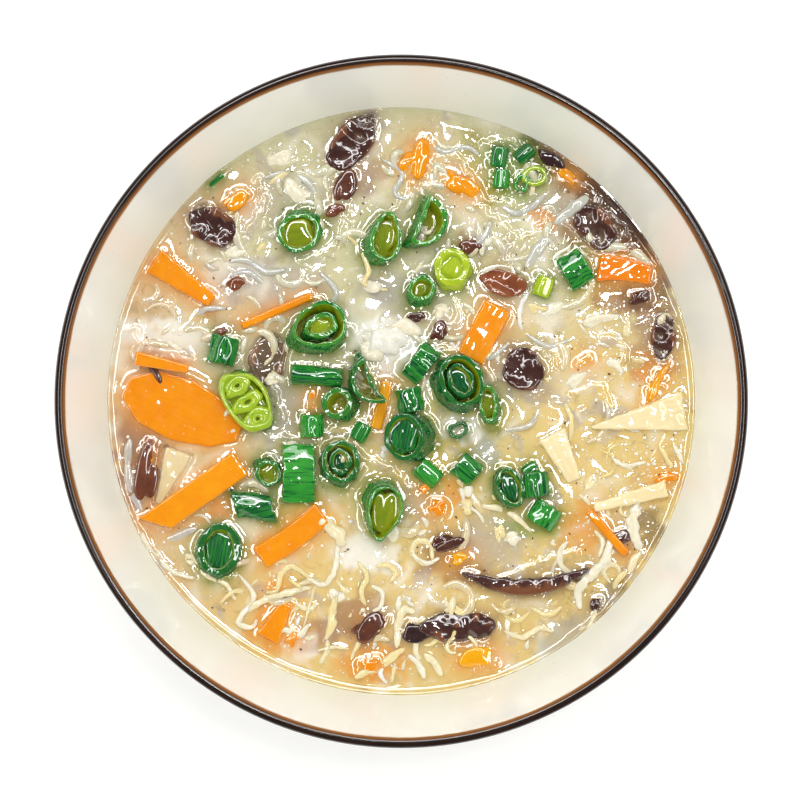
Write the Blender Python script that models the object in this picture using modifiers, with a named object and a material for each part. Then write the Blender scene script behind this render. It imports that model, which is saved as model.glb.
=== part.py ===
"""A round stoneware soup bowl of thick congee with spring onion, carrot, mushroom, bamboo shoot and egg.

The numbers here are millimetres, and every mesh is scaled to metres as it is made. The bowl stands on its foot
ring, with the origin under its centre. The congee is a solid up to its level, cut round what floats in it.
"""

import math

import bmesh
import bpy
from mathutils import Matrix, Vector

MM = 0.001
GAP = 0.3  # between the congee, the bowl and every piece that floats

# The bowl
RIM_RADIUS = 75.0
HEIGHT = 64.0
LIP_RADIUS = 1.2  # of the rounded bead along the rim
LIP_POINTS = 4
FLOOR_HEIGHT = 10.0  # of the inside, at the centre
WALL_CURVE = 3.75  # the inner wall rises as this power of the radius
WALL_AT_RIM = 2.5
WALL_AT_FOOT = 4.6
FOOT_RADIUS = 35.0
FOOT_WIDTH = 5.4
FOOT_EDGE = 0.5  # the chamfer along the ring's underside
UNDERSIDE_HEIGHT = 5.4  # of the recess inside the foot ring
BOWL_SEGMENTS = 48

# The congee
LEVEL = 44.0
RELIEF = 0.45  # how far its surface rises and falls
CONGEE_RINGS = 3

# Spring onion
ONION_WALL = 1.1
ONION_SIDES = 10
SMALLEST_BORE = 0.8
SMALLEST_FILLED_BORE = 4.5  # a narrower bore holds no congee

EDGE = 0.35  # the rounding of a cut strip's edges

# A lying tube's section is upright: its long side points along Y, its short side up, and its axis along X.
LYING = Matrix(((0, 0, 1), (1, 0, 0), (0, 1, 0))).to_4x4()

# Each ring stands with its axis up: its middle, the two widths across it, its height, how far its long side is
# turned from +X, how far its middle is above the level, and where it needs them its narrower end (point), the
# curve of its long side (bend), its tilt and its wall.
ONION_RINGS = {
    "onion_ring_upper_left": dict(at=(-21.8, 38.2), across=(9.5, 8.6), tall=4.0, turn=15, lift=0.6, lean=8),
    "onion_ring_pointed": dict(at=(-4.8, 35.8), across=(11.5, 7.2), tall=4.6, turn=82, lift=1.0, point=0.3),
    "onion_ring_crescent": dict(
        at=(4.4, 39.1), across=(12.0, 6.4), tall=4.8, turn=68, lift=1.0, bend=2.2, wall=1.3
    ),
    "onion_ring_dark_small": dict(at=(4.3, 23.8), across=(6.6, 5.6), tall=3.6, turn=25, lift=0.6),
    "onion_ring_pale": dict(at=(11.4, 28.9), across=(9.0, 7.8), tall=3.6, turn=75, lift=0.4, wall=1.5),
    "onion_ring_large": dict(
        at=(-19.4, 14.9), across=(12.9, 10.2), tall=4.6, turn=200, lift=2.2, point=0.25, wall=1.0
    ),
    "onion_core_large": dict(
        at=(-18.8, 15.2), across=(8.2, 5.6), tall=3.4, turn=200, lift=2.0, point=0.15, wall=1.3
    ),
    "onion_ring_arch": dict(
        at=(-8.4, 5.0), across=(11.4, 4.6), tall=4.2, turn=118, lift=3.4, bend=-2.6, wall=0.9
    ),
    "onion_ring_under_arch": dict(at=(-13.0, -1.0), across=(7.6, 6.8), tall=4.0, turn=60, lift=0.8, wall=1.4),
    "onion_ring_dark": dict(at=(11.9, 3.2), across=(12.4, 9.8), tall=4.8, turn=-58, lift=2.2, wall=1.2, lean=6),
    "onion_core_dark": dict(at=(11.9, 3.4), across=(8.2, 5.8), tall=3.4, turn=-58, lift=2.4, wall=1.1, lean=6),
    "onion_ring_oval": dict(at=(19.7, -1.5), across=(8.6, 4.3), tall=4.0, turn=96, lift=0.8, wall=0.9),
    "onion_ring_tall": dict(at=(3.0, -8.3), across=(10.8, 8.8), tall=6.4, turn=80, lift=1.6, wall=1.2, lean=-9),
    "onion_ring_shaded": dict(at=(-29.8, -15.2), across=(6.2, 6.0), tall=3.4, turn=40, lift=0.6),
    "onion_ring_double": dict(at=(-13.8, -14.2), across=(10.0, 8.6), tall=4.4, turn=95, lift=0.8, wall=1.2),
    "onion_core_double": dict(at=(-13.8, -14.0), across=(6.4, 5.0), tall=3.6, turn=95, lift=1.0, wall=1.1),
    "onion_ring_teardrop": dict(
        at=(-5.0, -23.9), across=(12.8, 8.0), tall=4.6, turn=258, lift=0.9, point=0.42, wall=0.8
    ),
    "onion_ring_closed": dict(at=(-40.4, -33.3), across=(12.2, 9.6), tall=3.6, turn=80, lift=0.3, wall=1.6),
    "onion_ring_right": dict(at=(23.5, -19.2), across=(9.4, 6.2), tall=3.8, turn=112, lift=0.4),
}

# A lying tube's axis is level. Its length is along the leaf's fibres, which turn gives from +X, and slant cuts its
# ends askew.
ONION_TUBES = {
    "onion_band": dict(at=(-18.6, 5.6), across=(4.6, 4.4), length=11.2, turn=-4, lift=0.7),
    "onion_tube_striped": dict(at=(4.4, 8.4), across=(9.4, 4.2), length=4.6, turn=-38, lift=0.7),
    "onion_tube_centre": dict(at=(1.9, 0.2), across=(6.0, 4.0), length=5.2, turn=-80, lift=0.9),
    "onion_tube_centre_left": dict(at=(-19.6, -5.4), across=(5.6, 3.8), length=5.0, turn=92, lift=0.6),
    "onion_tube_left": dict(at=(-39.3, 11.3), across=(6.4, 3.8), length=6.2, turn=76, lift=0.7),
    "onion_tube_flat": dict(at=(-22.6, -16.0), across=(13.6, 4.4), length=7.0, turn=0, lift=1.1),
    "onion_tube_slanted": dict(at=(-32.6, -23.2), across=(6.2, 3.8), length=8.8, turn=-7, lift=0.9, slant=-0.4),
    "onion_tube_far_right": dict(at=(38.5, 29.1), across=(8.2, 3.8), length=5.6, turn=30, lift=0.8),
    "onion_tube_short_right": dict(at=(14.6, -15.0), across=(6.0, 3.4), length=5.2, turn=-40, lift=0.6),
    "onion_tube_right_upper": dict(at=(29.8, -18.4), across=(6.0, 3.8), length=5.4, turn=-84, lift=1.0),
    "onion_tube_right_lower": dict(at=(31.6, -25.2), across=(6.8, 3.6), length=5.0, turn=-122, lift=0.7),
}

# A cut strip: its middle, size, heading, lift, and where it needs them how much narrower its far end is (taper),
# how far its middle is bowed sideways (bow) or up (arch), how thin its tips are (tips), and how askew its near end
# is cut (slant).
CARROT_STRIPS = {
    "carrot_thin_upper": dict(at=(-27.4, 20.0), size=(17.0, 1.8, 1.8), turn=23, lift=0.5),
    "carrot_wedge_left": dict(at=(-48.2, 26.6), size=(15.7, 6.0, 2.4), turn=-35, lift=0.2, taper=0.35),
    "carrot_on_slice": dict(at=(-52.8, 8.3), size=(12.0, 3.2, 1.8), turn=-12, lift=2.3, taper=0.3),
    "carrot_strip_left": dict(at=(-44.9, -20.3), size=(23.2, 6.0, 2.4), turn=35, lift=1.1, slant=-0.8),
    "carrot_strip_lower": dict(at=(-24.3, -29.6), size=(17.0, 5.4, 2.4), turn=36, lift=0.2, bow=-0.6),
    "carrot_strip_centre": dict(at=(18.3, 15.2), size=(13.2, 6.4, 2.4), turn=62, lift=0.4),
    "carrot_yellow": dict(at=(-4.3, -0.9), size=(10.6, 2.6, 2.0), turn=76, lift=-0.1),
    "carrot_strip_right": dict(at=(49.4, 28.6), size=(11.8, 6.0, 2.4), turn=-9, lift=0.1, taper=0.2, bow=0.6),
    "carrot_thin_right": dict(at=(45.6, -29.0), size=(12.6, 1.9, 1.9), turn=-49, lift=0.3),
    "carrot_lower_left": dict(at=(-27.4, -48.6), size=(9.0, 5.2, 2.2), turn=62, lift=-0.1, taper=0.3),
}
BAMBOO_STRIPS = {
    "bamboo_under_carrot": dict(at=(-51.6, -16.9), size=(12.6, 6.2, 1.6), turn=69, lift=-1.3, taper=-0.6),
    "bamboo_blade": dict(at=(52.4, -4.0), size=(21.0, 8.6, 1.8), turn=10, lift=0.4, taper=-0.85, arch=0.8),
    "bamboo_slice": dict(at=(35.8, -12.4), size=(11.6, 6.4, 1.8), turn=-64, lift=0.3, taper=0.35, arch=0.5),
    "bamboo_strip": dict(at=(50.6, -21.4), size=(16.6, 3.6, 1.8), turn=15, lift=0.8, taper=-0.3),
}
MUSHROOM_SLICES = {
    "mushroom_long_slice": dict(at=(27.6, -37.6), size=(28.0, 3.8, 3.0), turn=2, lift=0.5, bow=-3.6, tips=0.8),
}

# A flap of mushroom or wood ear: an oval sheet that is cupped along its length and ruffled.
MUSHROOM_FLAPS = {
    "mushroom_flap_left": dict(at=(-41.6, 38.6), size=(11.4, 8.0, 1.4), turn=-30, lift=0.5, cup=0.9, ruffle=0.5),
    "mushroom_flap_top": dict(at=(-11.0, 57.0), size=(14.8, 8.0, 1.4), turn=52, lift=-0.1, cup=0.8, ruffle=0.5),
    "mushroom_by_ring": dict(at=(-29.6, 9.4), size=(11.4, 7.8, 1.4), turn=72, lift=-1.3, cup=0.5, ruffle=0.2),
    "mushroom_centre_right": dict(at=(27.0, 7.0), size=(10.0, 8.6, 1.4), turn=-62, lift=0.0, cup=1.0, ruffle=0.4),
    "mushroom_flap_rusty": dict(at=(22.8, 26.0), size=(10.4, 5.6, 1.3), turn=-14, lift=0.6, cup=0.7, ruffle=0.6),
    "mushroom_flap_right": dict(at=(43.0, 38.4), size=(11.6, 7.6, 1.4), turn=-46, lift=-0.2, cup=0.6, ruffle=0.5),
    "mushroom_edge_right": dict(at=(58.0, 14.4), size=(10.0, 5.4, 1.4), turn=88, lift=-0.2, cup=0.6, ruffle=0.3),
    "mushroom_flap_bottom": dict(at=(12.8, -49.8), size=(17.4, 6.6, 1.4), turn=2, lift=0.3, cup=-0.7, ruffle=0.3),
}

# The pale oblong slice of spring onion, with a row of small leaves inside its sheath
PALE_SLICE = dict(at=(-34.0, 0.0), across=(15.6, 9.2), tall=3.4, turn=-58, lift=3.1)
PALE_BORES = ((-4.0, 2.6, 2.2), (0.2, 2.6, 4.2), (4.4, 2.4, 2.4))  # place along it, then the two widths

BIG_SLICE = dict(at=(-48.3, -2.0), across=(28.4, 14.0), tall=2.8, turn=-22, lift=-0.5, point=0.12)
CURD = dict(at=(-3.4, 13.4), size=(10.2, 6.6, 3.4), turn=12, lift=-0.1)

MATERIALS = {
    "cream_glaze": ((0.83, 0.82, 0.72), 0.15),
    "congee": ((0.66, 0.55, 0.33), 0.2),
    "onion_green": ((0.03, 0.25, 0.05), 0.3),
    "onion_pale": ((0.42, 0.56, 0.05), 0.3),
    "carrot": ((0.85, 0.24, 0.01), 0.3),
    "bamboo": ((0.80, 0.73, 0.45), 0.35),
    "mushroom": ((0.07, 0.035, 0.03), 0.35),
    "egg": ((0.78, 0.74, 0.58), 0.4),
}


def clear_scene():
    for item in list(bpy.data.objects):
        bpy.data.objects.remove(item, do_unlink=True)


def make_collection(name):
    collection = bpy.data.collections.new(name)
    bpy.context.scene.collection.children.link(collection)
    return collection


def make_materials():
    made = {}
    for name, (colour, roughness) in MATERIALS.items():
        material = bpy.data.materials.new(name)
        material.use_nodes = True
        shader = material.node_tree.nodes["Principled BSDF"]
        shader.inputs["Base Color"].default_value = (*colour, 1.0)
        shader.inputs["Roughness"].default_value = roughness
        shader.inputs["Metallic"].default_value = 0.0
        made[name] = material
    return made


def to_mesh(bm, name):
    """The bmesh as a mesh in metres, with its faces pointing out."""
    bmesh.ops.recalc_face_normals(bm, faces=bm.faces[:])
    bmesh.ops.scale(bm, vec=(MM, MM, MM), verts=bm.verts[:])
    mesh = bpy.data.meshes.new(name)
    bm.to_mesh(mesh)
    bm.free()
    return mesh


def add_object(name, mesh, collection, material=None):
    item = bpy.data.objects.new(name, mesh)
    collection.objects.link(item)
    if material:
        mesh.materials.append(material)
    return item


def place(item, at, lift, turn, lean=0.0, lying=False):
    """Stands the item at its place over the level, leaned along its long side and then turned from +X."""
    item.location = Vector((at[0], at[1], LEVEL + lift)) * MM
    pose = Matrix.Rotation(math.radians(turn), 4, "Z") @ Matrix.Rotation(math.radians(lean), 4, "Y")
    item.rotation_euler = (pose @ LYING if lying else pose).to_euler()


def inner_height(radius):
    """The height of the bowl's inner wall at a radius."""
    share = radius / (RIM_RADIUS - 2 * LIP_RADIUS)
    return FLOOR_HEIGHT + (HEIGHT - LIP_RADIUS - FLOOR_HEIGHT) * share**WALL_CURVE


def inner_radius(height):
    share = (height - FLOOR_HEIGHT) / (HEIGHT - LIP_RADIUS - FLOOR_HEIGHT)
    return (RIM_RADIUS - 2 * LIP_RADIUS) * share ** (1 / WALL_CURVE)


def off_wall(radius, distance):
    """The point this far from the inner wall at a radius, into the bowl's clay, or into its hollow if negative."""
    step = 0.01
    slope = (inner_height(radius + step) - inner_height(radius)) / step
    length = math.hypot(slope, 1.0)
    return radius + distance * slope / length, inner_height(radius) - distance / length


def wall_radii():
    """Radii from the centre to the rim, closer together where the wall is steep, with one at the level."""
    to_level = inner_radius(LEVEL)
    to_rim = RIM_RADIUS - 2 * LIP_RADIUS
    lower = [to_level * (1 - (1 - k / 6) ** 1.5) for k in range(7)]
    upper = [to_level + (to_rim - to_level) * k / 2 for k in range(1, 3)]
    return lower, upper


def turned(name, profile, collection, segments):
    """A closed body from a profile of radius and height, turned about the axis."""
    bm = bmesh.new()
    verts = [bm.verts.new((radius, 0.0, height)) for radius, height in profile]
    for one, other in zip(verts, verts[1:]):
        bm.edges.new((one, other))
    bmesh.ops.scale(bm, vec=(MM, MM, MM), verts=bm.verts[:])
    mesh = bpy.data.meshes.new(name)
    bm.to_mesh(mesh)
    bm.free()
    item = add_object(name, mesh, collection)
    screw = item.modifiers.new("turn", "SCREW")
    screw.steps = screw.render_steps = segments
    screw.use_merge_vertices = True
    screw.merge_threshold = 0.00001
    screw.use_smooth_shade = True
    return item


def make_bowl(collection, material):
    lower, upper = wall_radii()
    inside = [(radius, inner_height(radius)) for radius in lower + upper[:-1]]

    lip_centre = RIM_RADIUS - LIP_RADIUS
    lip = []
    for k in range(LIP_POINTS + 1):
        angle = math.pi * (1 - k / LIP_POINTS)
        lip.append((lip_centre + LIP_RADIUS * math.cos(angle), HEIGHT - LIP_RADIUS + LIP_RADIUS * math.sin(angle)))

    outside = []
    for radius in reversed(lower + upper[:-1]):
        share = radius / upper[-1]
        thick = WALL_AT_FOOT + (WALL_AT_RIM - WALL_AT_FOOT) * share**2
        point = off_wall(radius, thick)
        if point[0] > FOOT_RADIUS + 1.5:
            outside.append(point)

    foot_inside = FOOT_RADIUS - FOOT_WIDTH
    foot = [
        (FOOT_RADIUS + 0.4, UNDERSIDE_HEIGHT + 1.4),
        (FOOT_RADIUS, FOOT_EDGE),
        (FOOT_RADIUS - FOOT_EDGE, 0.0),
        (foot_inside + FOOT_EDGE, 0.0),
        (foot_inside, FOOT_EDGE),
        (foot_inside - 1.0, UNDERSIDE_HEIGHT - 0.6),
        (foot_inside - 2.2, UNDERSIDE_HEIGHT),
        (0.0, UNDERSIDE_HEIGHT),
    ]
    bowl = turned("bowl", inside + lip + outside + foot, collection, BOWL_SEGMENTS)
    bowl.data.materials.append(material)


def relief(x, y):
    """How far the congee's surface is above its level, in long low swells that fade towards the wall."""
    fade = 1 - (math.hypot(x, y) / inner_radius(LEVEL)) ** 4
    swell = math.sin(0.11 * x + 0.7) * math.cos(0.13 * y - 0.4) + 0.6 * math.sin(0.21 * (x - y) + 1.1)
    return RELIEF * swell * fade


def make_congee(collection, cutters, material):
    lower, _ = wall_radii()
    edge = off_wall(lower[-1], -GAP)[0]
    top = [(edge * k / CONGEE_RINGS, LEVEL) for k in range(CONGEE_RINGS)]
    side = [off_wall(radius, -GAP) for radius in reversed(lower[1:])]
    side = [(edge, LEVEL)] + [(radius, height) for radius, height in side if height < LEVEL - 1.0]
    side.append((0.0, FLOOR_HEIGHT + GAP))
    shell = turned("congee_shell", top + side, cutters, BOWL_SEGMENTS)

    seen = shell.evaluated_get(bpy.context.evaluated_depsgraph_get())
    mesh = bpy.data.meshes.new_from_object(seen)
    bpy.data.objects.remove(shell, do_unlink=True)
    mesh.name = "congee"
    for vertex in mesh.vertices:
        if vertex.co.z > (LEVEL - 0.5) * MM:
            vertex.co.z += relief(vertex.co.x / MM, vertex.co.y / MM) * MM
    congee = add_object("congee", mesh, collection, material)
    congee.modifiers.new("flat_faces", "TRIANGULATE")
    cut = congee.modifiers.new("cut_round_pieces", "BOOLEAN")
    cut.operation = "DIFFERENCE"
    cut.solver = "EXACT"
    cut.operand_type = "COLLECTION"
    cut.collection = cutters
    tidy = congee.modifiers.new("join_flat_faces", "DECIMATE")
    tidy.decimate_type = "DISSOLVE"
    tidy.angle_limit = math.radians(0.5)
    tidy.use_dissolve_boundaries = True


def oval(long, short, point, bend):
    """Points round an oval whose far end is narrower by point, and whose long side is bowed by bend."""
    points = []
    for k in range(ONION_SIDES):
        angle = 2 * math.pi * (k + 0.5) / ONION_SIDES
        along, aside = math.cos(angle), math.sin(angle)
        points.append((long / 2 * along, short / 2 * aside * (1 - point * along) + bend * (along**2 - 0.5)))
    return points


def add_loop(bm, points):
    verts = [bm.verts.new((x, y, 0.0)) for x, y in points]
    return [bm.edges.new(pair) for pair in zip(verts, verts[1:] + verts[:1])]


def tube_mesh(name, across, length, wall, point=0.0, bend=0.0, slant=0.0, grow=0.0, open_bore=True):
    """An oval tube along Z, centred, with its bore unless that is too small, and grown on every side by grow."""
    long, short = across[0] + 2 * grow, across[1] + 2 * grow
    inner_long, inner_short = across[0] - 2 * wall - 2 * grow, across[1] - 2 * wall - 2 * grow
    bm = bmesh.new()
    edges = add_loop(bm, oval(long, short, point, bend))
    if open_bore and inner_short > SMALLEST_BORE:
        edges += add_loop(bm, oval(inner_long, inner_short, point, bend))
        bmesh.ops.bridge_loops(bm, edges=edges)
    else:
        bmesh.ops.contextual_create(bm, geom=edges)
    extruded = bmesh.ops.extrude_face_region(bm, geom=bm.faces[:])
    moved = [part for part in extruded["geom"] if isinstance(part, bmesh.types.BMVert)]
    bmesh.ops.translate(bm, vec=(0.0, 0.0, length + 2 * grow), verts=moved)
    for vert in bm.verts:
        vert.co.z += slant * vert.co.x - length / 2 - grow
    return to_mesh(bm, name)


def strip_mesh(name, size, taper=0.0, bow=0.0, arch=0.0, tips=0.0, slant=0.0, grow=0.0):
    """A cut strip along X: a box cut into lengths, then narrowed, bowed, arched, thinned and cut askew."""
    length, width, thick = (side + 2 * grow for side in size)
    bm = bmesh.new()
    bmesh.ops.create_cube(bm, size=1.0, matrix=Matrix.Diagonal((length, width, thick, 1.0)))
    cuts = 5 if bow or tips else 3 if arch else 1
    for k in range(1, cuts):
        everything = bm.verts[:] + bm.edges[:] + bm.faces[:]
        across = (length * (k / cuts - 0.5), 0.0, 0.0)
        bmesh.ops.bisect_plane(bm, geom=everything, plane_co=across, plane_no=(1.0, 0.0, 0.0))
    for vert in bm.verts:
        share = 2 * vert.co.x / length
        narrow = (1 - taper * share) / (1 + abs(taper)) * (1 - tips * share**2)
        margin = math.copysign(grow, vert.co.y)
        vert.co.x += slant * vert.co.y * max(-share, 0.0)
        vert.co.y = (vert.co.y - margin) * narrow + margin + bow * (1 - share**2)
        vert.co.z += arch * (1 - share**2) - arch / 2
    return to_mesh(bm, name)


def flap_mesh(name, size, cup, ruffle, grow=0.0):
    """An oval sheet along X with a square grid drawn out to its outline, cupped and ruffled."""
    length, width, thick = (side + 2 * grow for side in size)
    bm = bmesh.new()
    bmesh.ops.create_grid(bm, x_segments=4, y_segments=2, size=1.0)
    for vert in bm.verts:
        u, v = vert.co.x, vert.co.y
        x, y = u * math.sqrt(1 - v * v / 2), v * math.sqrt(1 - u * u / 2)
        ragged = 1 + 0.07 * math.sin(5 * math.atan2(y, x) + size[0])
        height = cup * (y * y - 0.5) + ruffle * math.sin(3.4 * x + size[1]) * y
        vert.co = (x * length / 2 * ragged, y * width / 2 * ragged, height - thick / 2)
    extruded = bmesh.ops.extrude_face_region(bm, geom=bm.faces[:])
    moved = [part for part in extruded["geom"] if isinstance(part, bmesh.types.BMVert)]
    bmesh.ops.translate(bm, vec=(0.0, 0.0, thick), verts=moved)
    return to_mesh(bm, name)


def curd_mesh(name, size, grow=0.0):
    """A soft lump of cooked egg: a low ball with broad dents."""
    bm = bmesh.new()
    bmesh.ops.create_icosphere(bm, subdivisions=2, radius=1.0)
    for vert in bm.verts:
        x, y, z = vert.co
        dent = 1 + 0.12 * math.sin(4.1 * x + 1.0) * math.cos(3.7 * y) + 0.06 * math.sin(5.0 * z + 3.0 * x)
        vert.co = [(half / 2 * dent + grow) * axis for half, axis in zip(size, (x, y, z))]
    return to_mesh(bm, name)


def pale_slice_mesh(name, across, tall, grow=0.0):
    """A thick oblong slice with three leaves' hollows through it, or only its outside where it is a cutter."""
    bm = bmesh.new()
    edges = add_loop(bm, oval(across[0] + 2 * grow, across[1] + 2 * grow, 0.0, 0.0))
    if not grow:
        for along, long, short in PALE_BORES:
            edges += add_loop(bm, [(along + x, y) for x, y in oval(long, short, 0.0, 0.0)[::2]])
    bmesh.ops.triangle_fill(bm, edges=edges, use_beauty=True)
    extruded = bmesh.ops.extrude_face_region(bm, geom=bm.faces[:])
    moved = [part for part in extruded["geom"] if isinstance(part, bmesh.types.BMVert)]
    bmesh.ops.translate(bm, vec=(0.0, 0.0, tall + 2 * grow), verts=moved)
    bmesh.ops.translate(bm, vec=(0.0, 0.0, -tall / 2 - grow), verts=bm.verts[:])
    return to_mesh(bm, name)


def float_piece(name, make, where, parts, cutters, material, rounded=False):
    """Adds a floating piece, and a grown copy of it that cuts the congee. make takes a name and how far to grow."""
    piece = add_object(name, make(name, 0.0), parts, material)
    cutter = add_object(f"cut_{name}", make(f"cut_{name}", GAP), cutters)
    cutter.hide_render = True
    cutter.display_type = "WIRE"
    cutter.modifiers.new("flat_faces", "TRIANGULATE")
    for item in (piece, cutter):
        place(item, **where)
    if rounded:
        bevel = piece.modifiers.new("worn_edges", "BEVEL")
        bevel.width = EDGE * MM
        bevel.segments = 1
        bevel.limit_method = "ANGLE"
        bevel.angle_limit = math.radians(50)
    piece.data.shade_smooth()
    piece.data.set_sharp_from_angle(angle=math.radians(40))


def split(row, shape_keys):
    """A row's shape and its place, apart."""
    shape = {key: row[key] for key in shape_keys if key in row}
    where = {key: value for key, value in row.items() if key in ("at", "lift", "turn", "lean")}
    return shape, where


def make_onion(parts, cutters, materials):
    for name, row in {**ONION_RINGS, **ONION_TUBES}.items():
        shape, where = split(row, ("across", "wall", "point", "bend", "slant"))
        where["lying"] = name in ONION_TUBES
        shape["length"] = row["length"] if where["lying"] else row["tall"]
        wall = shape.setdefault("wall", ONION_WALL)
        filled = row["across"][1] - 2 * wall > SMALLEST_FILLED_BORE and "core" not in name

        def make(label, grow, shape=shape, filled=filled):
            return tube_mesh(label, grow=grow, open_bore=filled or not grow, **shape)

        material = materials["onion_pale" if "pale" in name else "onion_green"]
        float_piece(name, make, where, parts, cutters, material)

    shape, where = split(PALE_SLICE, ("across", "tall"))
    float_piece(
        "onion_slice_pale",
        lambda label, grow: pale_slice_mesh(label, grow=grow, **shape),
        where,
        parts,
        cutters,
        materials["onion_pale"],
    )


def make_strips(parts, cutters, materials):
    for rows, finish in ((CARROT_STRIPS, "carrot"), (BAMBOO_STRIPS, "bamboo"), (MUSHROOM_SLICES, "mushroom")):
        for name, row in rows.items():
            shape, where = split(row, ("size", "taper", "bow", "arch", "tips", "slant"))

            def make(label, grow, shape=shape):
                return strip_mesh(label, grow=grow, **shape)

            float_piece(name, make, where, parts, cutters, materials[finish], rounded=True)

    shape, where = split(BIG_SLICE, ("across", "point"))
    shape.update(length=BIG_SLICE["tall"], wall=0.0, open_bore=False)
    float_piece(
        "carrot_big_slice",
        lambda label, grow: tube_mesh(label, grow=grow, **shape),
        where,
        parts,
        cutters,
        materials["carrot"],
        rounded=True,
    )


def make_flaps_and_curd(parts, cutters, materials):
    for name, row in MUSHROOM_FLAPS.items():
        shape, where = split(row, ("size", "cup", "ruffle"))

        def make(label, grow, shape=shape):
            return flap_mesh(label, grow=grow, **shape)

        float_piece(name, make, where, parts, cutters, materials["mushroom"])

    shape, where = split(CURD, ("size",))
    float_piece(
        "egg_curd",
        lambda label, grow: curd_mesh(label, grow=grow, **shape),
        where,
        parts,
        cutters,
        materials["egg"],
    )


def main():
    clear_scene()
    parts = make_collection("congee_bowl")
    cutters = make_collection("cutters")
    materials = make_materials()
    make_bowl(parts, materials["cream_glaze"])
    make_onion(parts, cutters, materials)
    make_strips(parts, cutters, materials)
    make_flaps_and_curd(parts, cutters, materials)
    make_congee(parts, cutters, materials["congee"])


main()
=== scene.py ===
"""Looks of the congee bowl: the glazed bowl, the thick congee, and all that floats in it.

Lengths are millimetres and colours are 0 to 255, and both are converted where they are used. Loose pieces are
placed by their middle, from the bowl's centre, with their height above the congee's level.
"""

import math
import random

import bpy
import numpy as np
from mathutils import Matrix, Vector
from mathutils.kdtree import KDTree


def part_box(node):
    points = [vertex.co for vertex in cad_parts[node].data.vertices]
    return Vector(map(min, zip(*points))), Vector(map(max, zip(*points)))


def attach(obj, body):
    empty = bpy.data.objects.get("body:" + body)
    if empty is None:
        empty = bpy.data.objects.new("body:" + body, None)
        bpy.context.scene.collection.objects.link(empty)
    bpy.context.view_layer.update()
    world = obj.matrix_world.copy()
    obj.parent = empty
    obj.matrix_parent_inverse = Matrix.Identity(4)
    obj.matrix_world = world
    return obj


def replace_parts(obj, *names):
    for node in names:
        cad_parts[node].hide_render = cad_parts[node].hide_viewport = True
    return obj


MM = 0.001
SKY = 0.97
SKY_IN_GLOSS = 0.06  # a dark room beyond the softboxes, so that wet things stay deep in colour
WINDOWS_IN_GLOSS = 12.0  # the ring of high windows that wet edges pick up as thin lines
WINDOWS_FROM = (0.835, 0.855)  # how high they begin, as the upward part of a direction
WINDOWS_TO = (0.905, 0.89)  # and how high they end
NO_WINDOWS = (-0.34, -0.1)  # there are none towards the front

# The bowl, with the same curves as its CAD body
LIP_RADIUS = 1.2
FLOOR_HEIGHT = 10.0
WALL_CURVE = 3.75
WALL_AT_RIM = 2.5
WALL_AT_FOOT = 4.6
FOOT_RADIUS = 35.0
FOOT_WIDTH = 5.4
UNDERSIDE_HEIGHT = 5.4
BOWL_STEPS = 200

# The glaze
LIP_BAND = (2.5, 2.0)  # how far under the rim the iron glaze starts, and where it is full
CREAM_RISES = (42.0, 60.0)  # the heights between which the cream glaze turns paler, its darker low part partly painted shade near the congee
BARE_ABOVE = (1.6, 1.1)  # the heights between which the foot's glaze ends
BARE_BEYOND = (27.0, 28.6)  # the radii between which the bare clay starts

# The congee
LEVEL = 44.0
SURFACE_CUTS = 304  # along each side of the grid that becomes its surface
CLIMB = 0.75  # how high the congee creeps up what it touches
REACH = 1.0  # how far that creep spreads
CALM = (40.0, 42.0)  # where its surface lies flattest
SWELL = 0.4  # the height of its broad ups and downs
THREAD_RIDGE = 0.2  # and of the fine ridges of skin
SKIN_RIDGE = 0.55  # and of the ridges between the pieces
RIM_RIDGE = 0.8  # and of its creep up the wall
SOFT_LUMPS = 260
UNDER_LOW = 0.3  # how far the congee stays under the top of a piece that lies low in it
CLEAR_OF_WALL = 1.5  # no loose strand comes nearer to the bowl's wall

# Loose things that are scattered: how many of each
LOOSE_RIBBONS = 36
LOOSE_NOODLES = 110
LOOSE_LUMPS = 30
LOOSE_GRAINS = 90
LOOSE_BUBBLES = 3800
LOOSE_SPECKS = 130
HOOP_HALF = 0.3  # a hoop's half thickness, before it is drawn out into a tube of leaf

# The lamps, in metres and watts: the place, size and power of each
AIM_AT = (0.0, 0.0, 0.05)
LAMPS = {
    "softbox_behind": ((-0.08, 0.62, 0.95), (0.55, 0.35), 2.5),
    "softbox_overhead": ((0.115, 0.13, 1.35), (0.12, 0.1), 1.7),
}
CAMERA_OFFSET = (-0.00027, 0.00028)  # metres from the bowl's axis
CAMERA_ABOVE_RIM = 0.8
CAMERA_LENS = 166.8

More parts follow.
